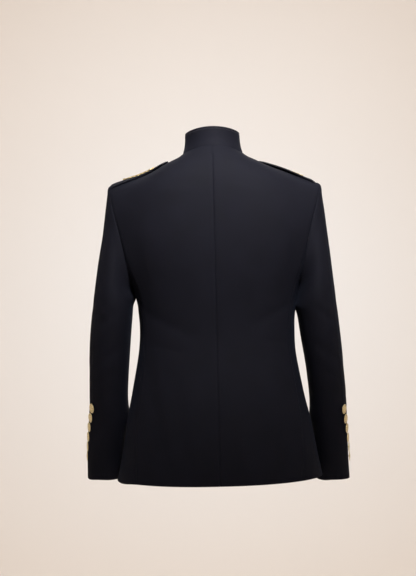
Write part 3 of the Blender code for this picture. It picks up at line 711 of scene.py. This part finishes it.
def jointNormals(normals, points, sewn):
    # two sewn edges are cut square to one direction, so that they meet face to face
    joined = {name: directions.copy() for name, directions in normals.items()}
    orders = {name: list(edges) for name, edges in sewn.items()}
    trees = {name: treeOf([points[name][i] for i in order]) for name, order in orders.items()}
    for name, edges in sewn.items():
        for i, other in edges.items():
            beside = orders[other][trees[other].find(points[name][i])[1]]
            both = normals[name][i] + normals[other][beside]
            joined[name][i] = both / max(np.linalg.norm(both), 0.2)  # short on opposite faces
    return joined


# Pads and hang: pushes in mm at a place, over a reach in mm, the same for every panel there
# or for the sleeves or the body alone
def pad(on, place, reach, push):
    return {"on": on, "place": place, "reach": reach, "push": push}


pads = [
    pad("all", (-240, 0, -105), (40, 70, 50), (-3.2, 0, 0)),
    pad("all", (-229, 0, -78), (12, 45, 16), (-2.2, 0, 2.0)),
    pad("sleeve", (-255, 0, -220), (45, 80, 120), (-1.8, 0, 0)),
    pad("sleeve", (-280, -60, -530), (35, 90, 55), (-3.0, 0, 0)),
    pad("sleeve", (240, 0, -165), (40, 80, 50), (-2.0, 0, 0)),
    pad("sleeve", (262, -30, -410), (40, 80, 85), (2.8, 0, 0)),
    pad("sleeve", (285, -60, -650), (35, 90, 80), (2.5, 0, 0)),
    pad("sleeve", (188, -10, -440), (26, 70, 60), (-1.8, 0, 0)),
    pad("sleeve", (188, -30, -566), (30, 70, 30), (-5.5, 0, 0)),
    pad("sleeve", (-190, -10, -400), (26, 70, 70), (2.4, 0, 0)),
    pad("sleeve", (-186, 0, -308), (24, 60, 30), (6.5, 0, 0)),
    pad("sleeve", (-192, -30, -574), (26, 70, 22), (3.6, 0, 0)),
    pad("sleeve", (-186, 0, -335), (24, 60, 11), (2.6, 0, 0)),
    pad("sleeve", (176, 0, -304), (26, 60, 15), (-12, 0, 0)),
    pad("sleeve", (176, 0, -556), (24, 70, 14), (-2.6, 0, 0)),
    pad("sleeve", (294, -50, -700), (20, 110, 22), (0, 0, -7.0)),
    pad("sleeve", (-298, -50, -706), (20, 110, 22), (-1.0, 0, -9.0)),
    pad("sleeve", (-245, 0, -704), (15, 70, 20), (0, 0, 3.5)),
    pad("body", (180, 20, -490), (30, 80, 90), (2.2, 0, 0)),
    pad("body", (192, 10, -572), (26, 80, 34), (2.0, 0, 0)),
    pad("body", (-176, 10, -322), (26, 70, 50), (-3.4, 0, 0)),
    pad("body", (-196, 10, -574), (26, 80, 26), (-1.5, 0, 0)),
    pad("body", (-178, 10, -388), (26, 70, 26), (-1.6, 0, 0)),
    pad("body", (172, 10, -320), (26, 70, 14), (-1.0, 0, 0)),
    pad("body", (204, 0, -700), (18, 90, 20), (3.0, 0, -5.0)),
]
# The shoulder seams' height over the straight line from neck to sleeve, in mm across and up:
# worn hollow under the left strap, and full at both pads
shoulders = {
    "left": [
        (75, -2), (90, -1), (110, -1.6), (130, -4), (148, -3.6), (165, -1.6), (180, 0.7), (200, 4.2),
        (216, 6), (228, 7),
    ],
    "right": [
        (75, -2), (90, -0.8), (108, -1.4), (122, -1), (150, 0.9), (180, 1.7), (194, 2.8), (206, 3.6),
        (219, 2.4), (228, 1),
    ],
    "ridge": [
        (75, -4), (101, -17), (128, -30), (154, -41), (180, -52), (206, -62), (219, -67), (227, -71),
        (240, -120),
    ],
    "from": (60, 18),  # mm across where the change starts, and over which it grows
    "fade": 34,  # mm below the ridge
}


def padded(name, points):
    moved = points.copy()
    on = "sleeve" if "Sleeve" in name else "body"
    for row in pads:
        if row["on"] in ("all", on):
            off = (points / mm - row["place"]) / row["reach"]
            moved += np.exp(-(off**2).sum(1))[:, None] * np.array(row["push"]) * mm
    across = np.abs(points[:, 0]) / mm
    lines = [np.array(shoulders[line]).T for line in ("left", "right", "ridge")]
    left, right, ridge = [np.interp(across, *line) for line in lines]
    start, grow = shoulders["from"]
    rise = np.where(points[:, 0] > 0, left, right) * ease((across - start) / grow)
    below = ridge - points[:, 2] / mm
    moved[:, 2] += rise * np.exp(-np.maximum(below / shoulders["fade"], 0) ** 2) * mm
    return moved


# Stitching in black thread beside the free edges of the collar, the left front and the
# straps, and worked buttonholes on the left front
stitching = {
    "inset": {
        "standCollar": 5 * mm, "frontLeft": 6 * mm, "shoulderStrapLeft": 4 * mm, "shoulderStrapRight": 4 * mm,
    },
    "frontEdge": (30 * mm, -60 * mm, -690 * mm),  # most x and y and least z of that edge's line
    "strapEnd": 7 * mm,  # no line runs across the sewn end
    "length": 2.5 * mm,
    "pitch": 3.3 * mm,
    "radius": 0.28 * mm,
    "rings": 5,
    "sides": 5,
    "arch": (1.5, 0.8),  # rise in the middle and sink at the ends, in radii
    "holeFrom": -2 * mm,  # from the button's middle towards the left
    "holeTo": 22 * mm,
    "holeHalfWidth": 1.3 * mm,
    "purlRadius": 0.6 * mm,
    "purlWaist": 0.72,  # between two purls, share of the radius
    "purlPitch": 0.9 * mm,
    "purlSides": 6,
    "purlAbove": 0.1 * mm,
    "barHalf": 2.2 * mm,
    "barRadius": 0.7 * mm,
    "barAbove": 0.2 * mm,
}
stitchLines = {}


def longestRun(edges, kept):
    # the kept edge points in order, along the longest stretch of them
    beside = {}
    for a, b in edges:
        if a in kept and b in kept:
            beside.setdefault(a, []).append(b)
            beside.setdefault(b, []).append(a)
    runs = []
    while beside:
        run = [min(beside, key=lambda i: len(beside[i]))]
        while beside.get(run[-1]):
            following = beside[run[-1]].pop()
            beside[following].remove(run[-1])
            run.append(following)
        for i in run:
            beside.pop(i, None)
        runs.append(run)
    return max(runs, key=len)


def markStitchLine(name, points, normals, edges, sewn):
    rim = {i for pair in edges for i in pair}
    kept = rim - set(sewn)
    if name == "frontLeft":
        mostX, mostY, leastZ = stitching["frontEdge"]
        kept = {i for i in kept if points[i][0] < mostX and points[i][1] < mostY and points[i][2] > leastZ}
    elif name.startswith("shoulderStrap"):
        end = np.abs(points[:, 0]).max() - stitching["strapEnd"]
        kept = {i for i in kept if abs(points[i][0]) < end}
    run = longestRun(edges, kept)
    inner = treeOf([points[i] for i in range(len(points)) if i not in rim])
    line = points[run]
    along = np.gradient(line, axis=0)
    along /= np.maximum(np.linalg.norm(along, axis=1, keepdims=True), 1e-9)
    inward = np.cross(normals[run], along)
    middle = len(run) // 2
    towards = np.array(inner.find(line[middle])[0]) - line[middle]
    inward *= math.copysign(1, towards @ inward[middle])
    stitchLines[name] = line + inward * stitching["inset"][name]


def makePanels():
    made, cuts, rims = {}, {}, {}
    for name, node in panels.items():
        facing = Vector((0, 0, 1)) if name.startswith("shoulderStrap") else Vector((0, 0, 0))
        made[name] = outerSheet(name, node, facing)
        cuts[name] = unwrapCut(made[name])
        if not name.startswith("shoulderStrap"):
            fairSheet(made[name].data)
        applyModifier(
            made[name], "rounded", "SUBSURF", levels=cloth["levels"], render_levels=cloth["levels"],
            boundary_smooth="PRESERVE_CORNERS",
        )
        rims[name] = rimEdges(made[name].data)
    print("panels unwrapped and rounded")
    body = [name for name in panels if not name.startswith("shoulderStrap")]
    points = {name: readPoints(made[name].data) for name in panels}
    bodyRims = {name: rims[name] for name in body}
    sewn = sewnEdges(points, bodyRims)
    for name in body:
        normals = readNormals(made[name].data)
        depth = unevenness(points[name])
        if "Sleeve" in name:
            depth += foldDepths(points[name], normals, sleeveFolds, -1 if name.endswith("Right") else 1)
        elif name != "standCollar":
            depth += foldDepths(points[name], normals, torsoFolds, 1)
        points[name] = padded(name, points[name] - normals * depth[:, None])
        writePoints(made[name].data, points[name])
        points[name] = pressSeams(points[name], readNormals(made[name].data), list(sewn[name]))
    points.update(closeSeams(points, bodyRims, sewn))
    for name in body:
        writePoints(made[name].data, points[name])
    normals = jointNormals({name: readNormals(made[name].data) for name in body}, points, sewn)
    for name in body:
        if name in stitching["inset"]:
            markStitchLine(name, points[name], normals[name], rims[name], sewn[name])
        finishPanel(name, made[name], points[name] - normals[name] * thicknessOf(name))
    for name in panels:
        if name not in body:
            points[name] = laidStrap(name, points[name], made)
            writePoints(made[name].data, points[name])
            upward = readNormals(made[name].data)
            markStitchLine(name, points[name], upward, rims[name], [])
            finishPanel(name, made[name], points[name] - upward * thicknessOf(name))
    return made


# The straps lie along the shoulders, and their sewn ends go down into the armhole seams
strap = {
    "rest": 0.7 * mm,  # between the strap and the cloth under it
    "restsOn": 97,  # per cent of the cloth that lies lower than the strap's smooth underside
    "middle": 160 * mm,
    "halfLength": 60 * mm,
    "halfWidth": 25 * mm,
    "stretchFrom": 180 * mm,
    "stretch": {"Left": 8 * mm, "Right": 5 * mm},
    "tuck": {"Left": 3.2 * mm, "Right": 5 * mm},
    "tuckLength": {"Left": 5 * mm, "Right": 13 * mm},
    # the hind edge rises by this share of the width, from the neck to the sleeve
    "tilt": {
        "Left": [(100, 0.05), (116, 0.11), (150, 0.07), (185, 0.03), (205, 0)],
        "Right": [
            (95, 0.03), (105, 0.08), (116, 0.13), (130, 0.165), (145, 0.175), (158, 0.165), (172, 0.13),
            (186, 0.08), (200, 0.03), (212, 0),
        ],
    },
}


def strapTerms(points, middleY):
    # the terms of a smooth surface, freer along the strap than across it
    u = (np.abs(points[:, 0]) - strap["middle"]) / strap["halfLength"]
    v = (points[:, 1] - middleY) / strap["halfWidth"]
    return np.stack([u**0, u, u**2, u**3, u**4, v, u * v, v**2, u * v**2], -1)


def laidStrap(name, points, made):
    # a smooth surface through what a plumb line finds under the strap
    side = name.replace("shoulderStrap", "")
    moved = points.copy()
    across = np.abs(points[:, 0])
    end = across.max()
    share = np.clip((across - strap["stretchFrom"]) / (end - strap["stretchFrom"]), 0, 1)
    across = across + strap["stretch"][side] * share**2
    moved[:, 0] = np.copysign(across, points[:, 0])
    under = [groundOf(made[part + side]) for part in ("back", "front", "topSleeve")]
    places, heights = [], []
    for index in range(0, len(moved), 3):
        found = [plumb(ground, *moved[index, :2])[0] for ground in under]
        found = [place.z for place in found if place is not None]
        if found and across[index] < end:
            places.append(index)
            heights.append(max(found))
    heights = np.array(heights)
    middleY = points[:, 1].mean()
    terms = strapTerms(moved, middleY)
    fit = np.linalg.lstsq(terms[places], heights, rcond=None)[0]
    over = heights - terms[places] @ fit
    print(name, "rests within", np.round([over.min() / mm, over.max() / mm], 2), "mm of a smooth surface")
    moved[:, 2] = terms @ fit + np.percentile(over, strap["restsOn"]) + strap["rest"] + thicknessOf(name)
    moved[:, 2] += np.interp(across / mm, *np.array(strap["tilt"][side]).T) * (points[:, 1] - middleY)
    sunk = np.clip(1 - (across.max() - across) / strap["tuckLength"][side], 0, 1)
    moved[:, 2] -= strap["tuck"][side] * sunk**2
    return moved


def thicknessOf(name):
    return thickPanels.get(name, cloth["thickness"])


def finishPanel(name, sheet, inner):
    # inner holds the places of the wrong side's points
    applyModifier(
        sheet, "thickness", "SOLIDIFY", thickness=thicknessOf(name), offset=-1, use_even_offset=False,
    )
    points = readPoints(sheet.data)
    points[len(inner):] = inner
    writePoints(sheet.data, points)
    applyModifier(
        sheet, "softEdges", "BEVEL", width=cloth["edgeRound"], segments=2, limit_method="ANGLE",
        angle_limit=math.radians(cloth["rimDegrees"]),
    )
    sheet.data.shade_smooth()
    sheet.data.materials.clear()
    sheet.data.materials.append(woolCloth)
    settle(sheet, panels[name])


sheets = makePanels()
print("cloth panels made")


# Buttons: a stamped shell with a plain rosette of eight petals in a roped rim, turned from a
# profile of radius and height in mm
button = {
    "radius": 10.5,
    "dome": [
        (r, 3.8 - 1.42 * (r / 7.7) ** 2) for r in (0, 1, 1.7, 2.2, 2.8, 3.6, 4.4, 5.2, 6, 6.7, 7.3, 7.7, 7.95)
    ],
    "rim": [(8.3, 2.3), (8.75, 2.7), (9.3, 2.85), (9.85, 2.7), (10.3, 2.3)],
    "back": [(10.5, 1.9), (10.3, 1.55), (8.5, 1.4), (4, 1.3), (2.3, 1.2), (2.2, 0.0), (0, 0.0)],
    "frontAbove": 2.0,
    "backBelow": 1.7,
    "steps": 96,
    "ropes": 24,
    "ropeDepth": 0.44,
    "ropeSlant": 1.6,
    "petals": 8,
    "petalDepth": 0.5,
    "petalEase": 1.2,
    "petalTips": (5.4, 7.2),  # between two petals, and at a petal's middle
    "tipEase": 0.5,
    "tipDepth": 0.8,  # share of the petals' depth
    "petalsWithin": 7.8,
    "bossRadius": 2.1,
    "bossRing": (2.2, 0.35),  # radius and width of the groove round the boss
    "seam": (8.05, 0.3),  # and of the dull line between dome and rim
}


def ringAt(radius, place, width):
    return np.exp(-((radius - place) / width) ** 2)


def turnedButton():
    profile = button["dome"] + button["rim"] + button["back"]
    piece = newPiece("buttonPattern", profileMesh("buttonPattern", [(r * mm, z * mm) for r, z in profile]))
    mesh = piece.data
    selectOnly(piece)
    bpy.ops.object.mode_set(mode="EDIT")
    bpy.ops.mesh.select_all(action="SELECT")
    bpy.ops.mesh.spin(steps=button["steps"], angle=2 * math.pi, center=(0, 0, 0), axis=(0, 0, 1))
    bpy.ops.mesh.select_all(action="SELECT")
    bpy.ops.mesh.remove_doubles(threshold=cloth["merge"])
    bpy.ops.mesh.normals_make_consistent(inside=False)
    bpy.ops.object.mode_set(mode="OBJECT")
    points = readPoints(mesh) / mm
    radius = np.hypot(points[:, 0], points[:, 1])
    turn = np.arctan2(points[:, 1], points[:, 0])
    front, back = points[:, 2] > button["frontAbove"], points[:, 2] < button["backBelow"]
    low, high = button["rim"][0][0] - 0.2, button["rim"][-1][0] + 0.1
    slant = (radius - low) / (high - low) * button["ropeSlant"]
    rope = (1 - np.abs(np.sin(button["ropes"] / 2 * turn + slant))) ** 2
    rope *= front & (radius > low) & (radius < high)
    petal = np.abs(np.cos(button["petals"] / 2 * turn))
    between = (1 - petal) ** 2 * ease((radius - button["bossRadius"]) / button["petalEase"])
    beyond = ease((radius - np.interp(petal, (0, 1), button["petalTips"])) / button["tipEase"])
    carved = np.max([between, beyond * button["tipDepth"], ringAt(radius, *button["bossRing"])], axis=0)
    carved *= front & (radius < button["petalsWithin"])
    points[:, 2] -= button["ropeDepth"] * rope + button["petalDepth"] * carved
    writePoints(mesh, points * mm)
    groove = np.max([rope, carved * 0.9, ringAt(radius, *button["seam"]) * front, back * 0.8], axis=0)
    layer = mesh.attributes.new("groove", "FLOAT", "POINT")
    layer.data.foreach_set("value", groove.astype(np.float32))
    mesh.shade_smooth()
    mesh.materials.append(brass)
    return piece


def buttonPlace(node):
    # foot, direction and radius of a CAD button
    points = readPoints(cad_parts[node].data)
    low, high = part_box(node)
    if node.startswith("cuff"):
        outward = Vector((math.copysign(1, low.x + high.x), 0, 0))
    elif node.startswith("front"):
        outward = Vector((0, -1, 0))
    else:
        outward = Vector((0, 0, 1))
    middle = points.mean(0)
    spread = np.linalg.eigh(np.cov((points - middle).T))[1]
    direction = Vector(spread[:, 0])
    if direction.dot(outward) < 0:
        direction = -direction
    heights = (points - middle) @ np.array(direction)
    reach = np.linalg.norm(np.cross(points - middle, np.array(direction)), axis=1).max()
    foot = Vector(middle) + direction * float(heights.min())
    if node.startswith("epaulette"):
        # the strap lies a little lower or higher than its solid
        laid = sheets["shoulderStrapLeft" if foot.x > 0 else "shoulderStrapRight"]
        foot, direction = plumb(groundOf(laid), foot.x, foot.y)
    return foot, direction, float(reach)


def makeButtons():
    pattern = turnedButton()
    nodes = sorted(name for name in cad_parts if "button" in name)
    for count, node in enumerate(nodes):
        foot, direction, radius = buttonPlace(node)
        words = node.split("_")
        mesh = pattern.data.copy()
        piece = newPiece(words[0] + "".join(word.capitalize() for word in words[1:]), mesh)
        scale = radius / (button["radius"] * mm)
        # each is sewn on with its petals at another angle
        turn = direction.to_track_quat("Z", "Y").to_matrix().to_4x4() @ Matrix.Rotation(count * 0.7, 4, "Z")
        mesh.transform(Matrix.Translation(foot) @ turn @ Matrix.Scale(scale, 4))
        settle(piece, node)
    bpy.data.objects.remove(pattern)


makeButtons()
print("buttons made")


# Cords and threads, each a tube through ring centres, gathered in a store for each piece
def newStore():
    return {"points": [], "faces": [], "along": []}


def addTube(store, rings, radii, sides, up=(0, 0, 1)):
    centres = np.array(rings)
    tangents = np.gradient(centres, axis=0)
    tangents /= np.linalg.norm(tangents, axis=1, keepdims=True)
    aside = np.cross(tangents, up)
    aside /= np.linalg.norm(aside, axis=1, keepdims=True)
    above = np.cross(aside, tangents)
    turn = np.linspace(0, 2 * np.pi, sides, endpoint=False)
    ring = np.cos(turn)[None, :, None] * aside[:, None] + np.sin(turn)[None, :, None] * above[:, None]
    points = centres[:, None] + ring * np.asarray(radii)[:, None, None]
    start = sum(len(made) for made in store["points"])
    last = start + (len(centres) - 1) * sides
    for i in range(start, last, sides):
        for j in range(sides):
            k = (j + 1) % sides
            store["faces"].append((i + j, i + sides + j, i + sides + k, i + k))
    store["faces"].append(tuple(range(start, start + sides)))
    store["faces"].append(tuple(reversed(range(last, last + sides))))
    store["points"].append(points.reshape(-1, 3))
    store["along"].append(np.repeat(lengthAlong(centres), sides))


def tubePiece(name, store, material, node=None):
    mesh = bpy.data.meshes.new(name)
    mesh.from_pydata(np.concatenate(store["points"]).tolist(), [], store["faces"])
    mesh.shade_smooth()
    mesh.materials.append(material)
    settle(newPiece(name, mesh), node)
    return mesh


# Shoulder plaits: a flat braid of five doubled bullion cords that narrows to the sleeve
plait = {
    "strands": 5,
    "lobePitch": 9.4,  # mm between the lobes of one edge
    "cordRadius": 1.3,
    "swing": {"left": 0.8, "right": 0.45},  # mm that a strand rises and falls as it crosses others
    "halfWidth": (10.4, 4.6),  # mm, at the neck end and at the sleeve end, to the strands' middles
    "sleeveScale": 0.62,  # cords and swing at the sleeve end
    "sides": 8,
    "step": 0.675,  # mm between rings
    "reach": 5.5,  # mm that the neck end runs on under the button
    "endReach": 6,  # mm of the solid that show where an end's middle is
    "closing": 7,  # mm over which the strands draw together at both ends
    "dive": 5,  # mm over which they come out from under the button
    "diveScale": 0.6,  # the cords' thickness there
    "pairing": 0.98,  # half the distance of a doubled strand's cords, in radii
    "bindings": (0.4, 2.3, 4.2),  # mm from the sleeve end, cords wound over it
    "bindingWidth": (0.75, 1.2),  # share of the half width there, and mm more
    "bindingHeight": 2.2,  # cord radii over the swing
    "bindingRings": 15,
}


def windCord(mesh, along):
    # once round the cord across the map, and metres along it up the map
    wound = mesh.uv_layers.new(name="wound")
    sides = plait["sides"]
    for face in mesh.polygons:
        turns = [mesh.loops[i].vertex_index % sides for i in face.loop_indices]
        closing = len(turns) == 4 and max(turns) == sides - 1  # its 0 is a whole turn
        for i, turn in zip(face.loop_indices, turns):
            around = 1.0 if closing and turn == 0 else turn / sides
            wound.uv[i].vector = (around, along[mesh.loops[i].vertex_index])


def makePlait(side):
    node = f"epaulette_braid_{side}"
    ground = groundOf(sheets[f"shoulderStrap{side.capitalize()}"])
    low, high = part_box(node)
    flip = 1 if side == "left" else -1
    neckX, sleeveX = (low.x, high.x) if flip > 0 else (high.x, low.x)
    neckX -= flip * plait["reach"] * mm
    points = readPoints(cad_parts[node].data)
    ends = [points[np.abs(points[:, 0] - x) < plait["endReach"] * mm][:, 1] for x in (neckX, sleeveX)]
    neckY, sleeveY = [(end.min() + end.max()) / 2 for end in ends]
    length = abs(sleeveX - neckX)
    trim = plait["cordRadius"] * mm
    run = np.arange(trim, length - trim, plait["step"] * mm)
    scale = 1 + (plait["sleeveScale"] - 1) * run / length
    close = np.minimum(1, np.minimum(run, length - run) / (plait["closing"] * mm)) ** 0.5
    half = np.interp(run, (0, length), plait["halfWidth"]) * mm * close
    dive = ease(run / (plait["dive"] * mm))
    radius = plait["cordRadius"] * mm * scale * (plait["diveScale"] + (1 - plait["diveScale"]) * dive)
    swing = plait["swing"][side] * mm * scale * dive
    store = newStore()
    for strand in range(plait["strands"]):
        phase = 2 * np.pi * (run / (plait["lobePitch"] * mm) + strand) / plait["strands"]
        across = half * np.cos(phase)
        slope = np.gradient(across, run)
        lift = radius + swing * (1 + np.sin((plait["strands"] - 1) * phase))
        for double in (-1, 1):
            off = double * radius * plait["pairing"] / np.sqrt(1 + slope**2)
            rings = []
            for ahead, aside, above in zip(run - off * slope, across + off, lift):
                x = neckX + flip * ahead
                y = neckY + (sleeveY - neckY) * ahead / length + aside
                place, normal = plumb(ground, x, y)
                if place is not None:
                    rings.append(place + normal * above)
            addTube(store, rings, radius[:len(rings)], plait["sides"])
    thick = plait["cordRadius"] * plait["sleeveScale"] * mm
    share, more = plait["bindingWidth"]
    wide = (plait["halfWidth"][1] * share + more) * mm
    tall = 2 * plait["swing"][side] * plait["sleeveScale"] * mm + plait["bindingHeight"] * thick
    for back in plait["bindings"]:
        # a cord wound over the sleeve end
        x = neckX + flip * (length - back * mm)
        rings = []
        for t in np.linspace(-0.1, math.pi + 0.1, plait["bindingRings"]):
            place, normal = plumb(ground, x, sleeveY + wide * math.cos(t))
            rings.append(place + normal * tall * max(math.sin(t), 0) ** 0.6)
        addTube(store, rings, [thick] * len(rings), plait["sides"], up=(flip, 0, 0))
    mesh = tubePiece(f"shoulderPlait{side.capitalize()}", store, cord, node)
    windCord(mesh, np.concatenate(store["along"]))


for side in ("left", "right"):
    makePlait(side)
print("plaits made")


def makeStitches(name):
    # each stitch goes down into the cloth at both ends
    line = stitchLines[name]
    ground = groundOf(sheets[name])
    gone = lengthAlong(line)
    radius, pitch, count = stitching["radius"], stitching["pitch"], stitching["rings"]
    rise, sink = stitching["arch"]
    store = newStore()
    for start in np.arange(pitch, gone[-1] - pitch, pitch):
        steps = start + np.linspace(0, stitching["length"], count)
        spots = np.stack([np.interp(steps, gone, line[:, axis]) for axis in range(3)], -1)
        rings = []
        for share, spot in zip(np.linspace(0, 1, count), spots):
            place, normal, _, _ = ground.find_nearest(Vector(spot))
            rings.append(place + normal * radius * (rise * math.sin(math.pi * share) - sink))
        addTube(store, rings, [radius] * count, stitching["sides"], tuple(normal))
    tubePiece(name + "Stitching", store, thread)


def makeButtonholes():
    # a purl of thread round a slit, and a bar at its end, in mm across and up from the button
    ground = groundOf(sheets["frontLeft"])
    start, end, wide = stitching["holeFrom"], stitching["holeTo"], stitching["holeHalfWidth"]
    there = np.arange(0, end - start - 2 * wide, stitching["purlPitch"] / 2)
    bend = np.linspace(0, math.pi, 9)[1:-1]
    loop = [(start + wide + s, wide) for s in there]
    loop += [(end - wide + wide * math.sin(t), wide * math.cos(t)) for t in bend]
    loop += [(end - wide - s, -wide) for s in there]
    loop += [(start + wide - wide * math.sin(t), -wide * math.cos(t)) for t in bend]
    loop.append(loop[0])
    purls = [stitching["purlRadius"] * (1 if i % 2 else stitching["purlWaist"]) for i in range(len(loop))]
    bar = [(end, up) for up in np.linspace(-stitching["barHalf"], stitching["barHalf"], 7)]
    bars = [stitching["barRadius"]] * len(bar)
    worked = [(loop, purls, stitching["purlAbove"]), (bar, bars, stitching["barAbove"])]
    store = newStore()
    for node in sorted(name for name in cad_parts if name.startswith("front_button")):
        foot = buttonPlace(node)[0]
        for path, radii, above in worked:
            rings = []
            for across, up in path:
                spot = Vector((foot.x + across, -0.4, foot.z + up))
                place, normal, _, _ = ground.ray_cast(spot, Vector((0, 1, 0)))
                rings.append(place + normal * above)
            addTube(store, rings, radii, stitching["purlSides"], tuple(normal))
    tubePiece("frontButtonholes", store, thread)


for name in stitchLines:
    makeStitches(name)
makeButtonholes()
print("stitches and buttonholes made")


# Stage: a pale round studio with its floor well below the hem, and soft white light; its paint is lighter in
# the middle of the view and darker towards the edges, a painted pool of light
stage = {
    "floor": -1.9,
    "radius": 6.2,
    "curve": 2.6,
    "height": 4.5,
    # the backdrop's paint lightens towards the middle of the view: a painted pool of light
    "centre": "f6f4f2",
    "edge": "e9dfd5",
    "fade": (0.7, 2.5),  # metres from the middle of the picture's backdrop, from centre to edge
}


def makeStage():
    curve = []
    for t in np.linspace(0, math.pi / 2, 13):
        out = stage["radius"] - stage["curve"] * (1 - math.sin(t))
        curve.append((out, stage["floor"] + stage["curve"] * (1 - math.cos(t))))
    profile = [(0, stage["floor"])] + curve + [(stage["radius"], stage["height"])]
    piece = newPiece("studio", profileMesh("studio", profile))
    applyModifier(
        piece, "turned", "SCREW", steps=96, render_steps=96, use_merge_vertices=True, merge_threshold=0.0001,
    )
    piece.data.shade_smooth()
    made, tree = newMaterial("paintedStudio")
    place = addNode(tree, "ShaderNodeTexCoord").outputs["Object"]
    middle = (0, -stage["radius"], camera["height"])
    off = addNode(tree, "ShaderNodeVectorMath", {1: middle}, {0: place}, operation="DISTANCE")
    share = addNode(
        tree, "ShaderNodeMapRange", {"From Min": stage["fade"][0], "From Max": stage["fade"][1]},
        {"Value": off.outputs["Value"]},
    )
    # painted light: the paint is lighter near the middle of the view and darker further away
    colour = addNode(
        tree, "ShaderNodeMix", {"A": hexColour(stage["centre"]), "B": hexColour(stage["edge"])},
        {"Factor": share}, data_type="RGBA",
    )
    shader = addNode(
        tree, "ShaderNodeBsdfPrincipled", {"Roughness": 0.95, "Specular IOR Level": 0.1},
        {"Base Color": colour.outputs["Result"]},
    )
    finishMaterial(tree, shader)
    piece.data.materials.append(made)


# Square lamps, each with its place and aim in metres, its side, watts, and spread in degrees
def lamp(place, aim, size, power, spread=180):
    return {"place": place, "aim": aim, "size": size, "power": power, "spread": spread}


lamps = {
    "key": lamp((-0.45, 1.9, 1.6), (-0.05, 0.08, 0.02), 0.4, 6, 24),
    "overhead": lamp((-0.1, 0.4, 2.4), (0, 0, -0.2), 1.0, 5, 60),
    "before": lamp((0, -2.6, 1.8), (0, 0, -0.33), 2.0, 16),
    "wash": lamp((0, -3.0, 1.5), (0, -6.2, -1.2), 1.8, 50),
    "washBehind": lamp((0, 3.4, 2.4), (0, 6.2, 0.2), 1.8, 28),
    "washLeft": lamp((3.2, 1.0, 2.2), (6.2, 1.0, -0.2), 1.6, 34),
    "washRight": lamp((-3.2, 1.0, 2.2), (-6.2, 1.0, -0.2), 1.6, 34),
}
air = {"colour": "fdfdff", "strength": 0.58}


def makeLamps():
    for name, row in lamps.items():
        data = bpy.data.lights.new(name, "AREA")
        data.shape = "SQUARE"
        data.size = row["size"]
        data.energy = row["power"]
        data.spread = math.radians(row["spread"])
        made = bpy.data.objects.new(name, data)
        bpy.context.scene.collection.objects.link(made)
        made.location = row["place"]
        made.rotation_mode = "QUATERNION"
        made.rotation_quaternion = (Vector(row["aim"]) - Vector(row["place"])).to_track_quat("-Z", "Y")
    world = bpy.data.worlds.new("studioAir")
    world.use_nodes = True
    world.node_tree.nodes["Background"].inputs["Color"].default_value = hexColour(air["colour"])
    world.node_tree.nodes["Background"].inputs["Strength"].default_value = air["strength"]
    bpy.context.scene.world = world
    bpy.context.scene.view_settings.view_transform = "Standard"


makeStage()
makeLamps()
print("stage and lights made")
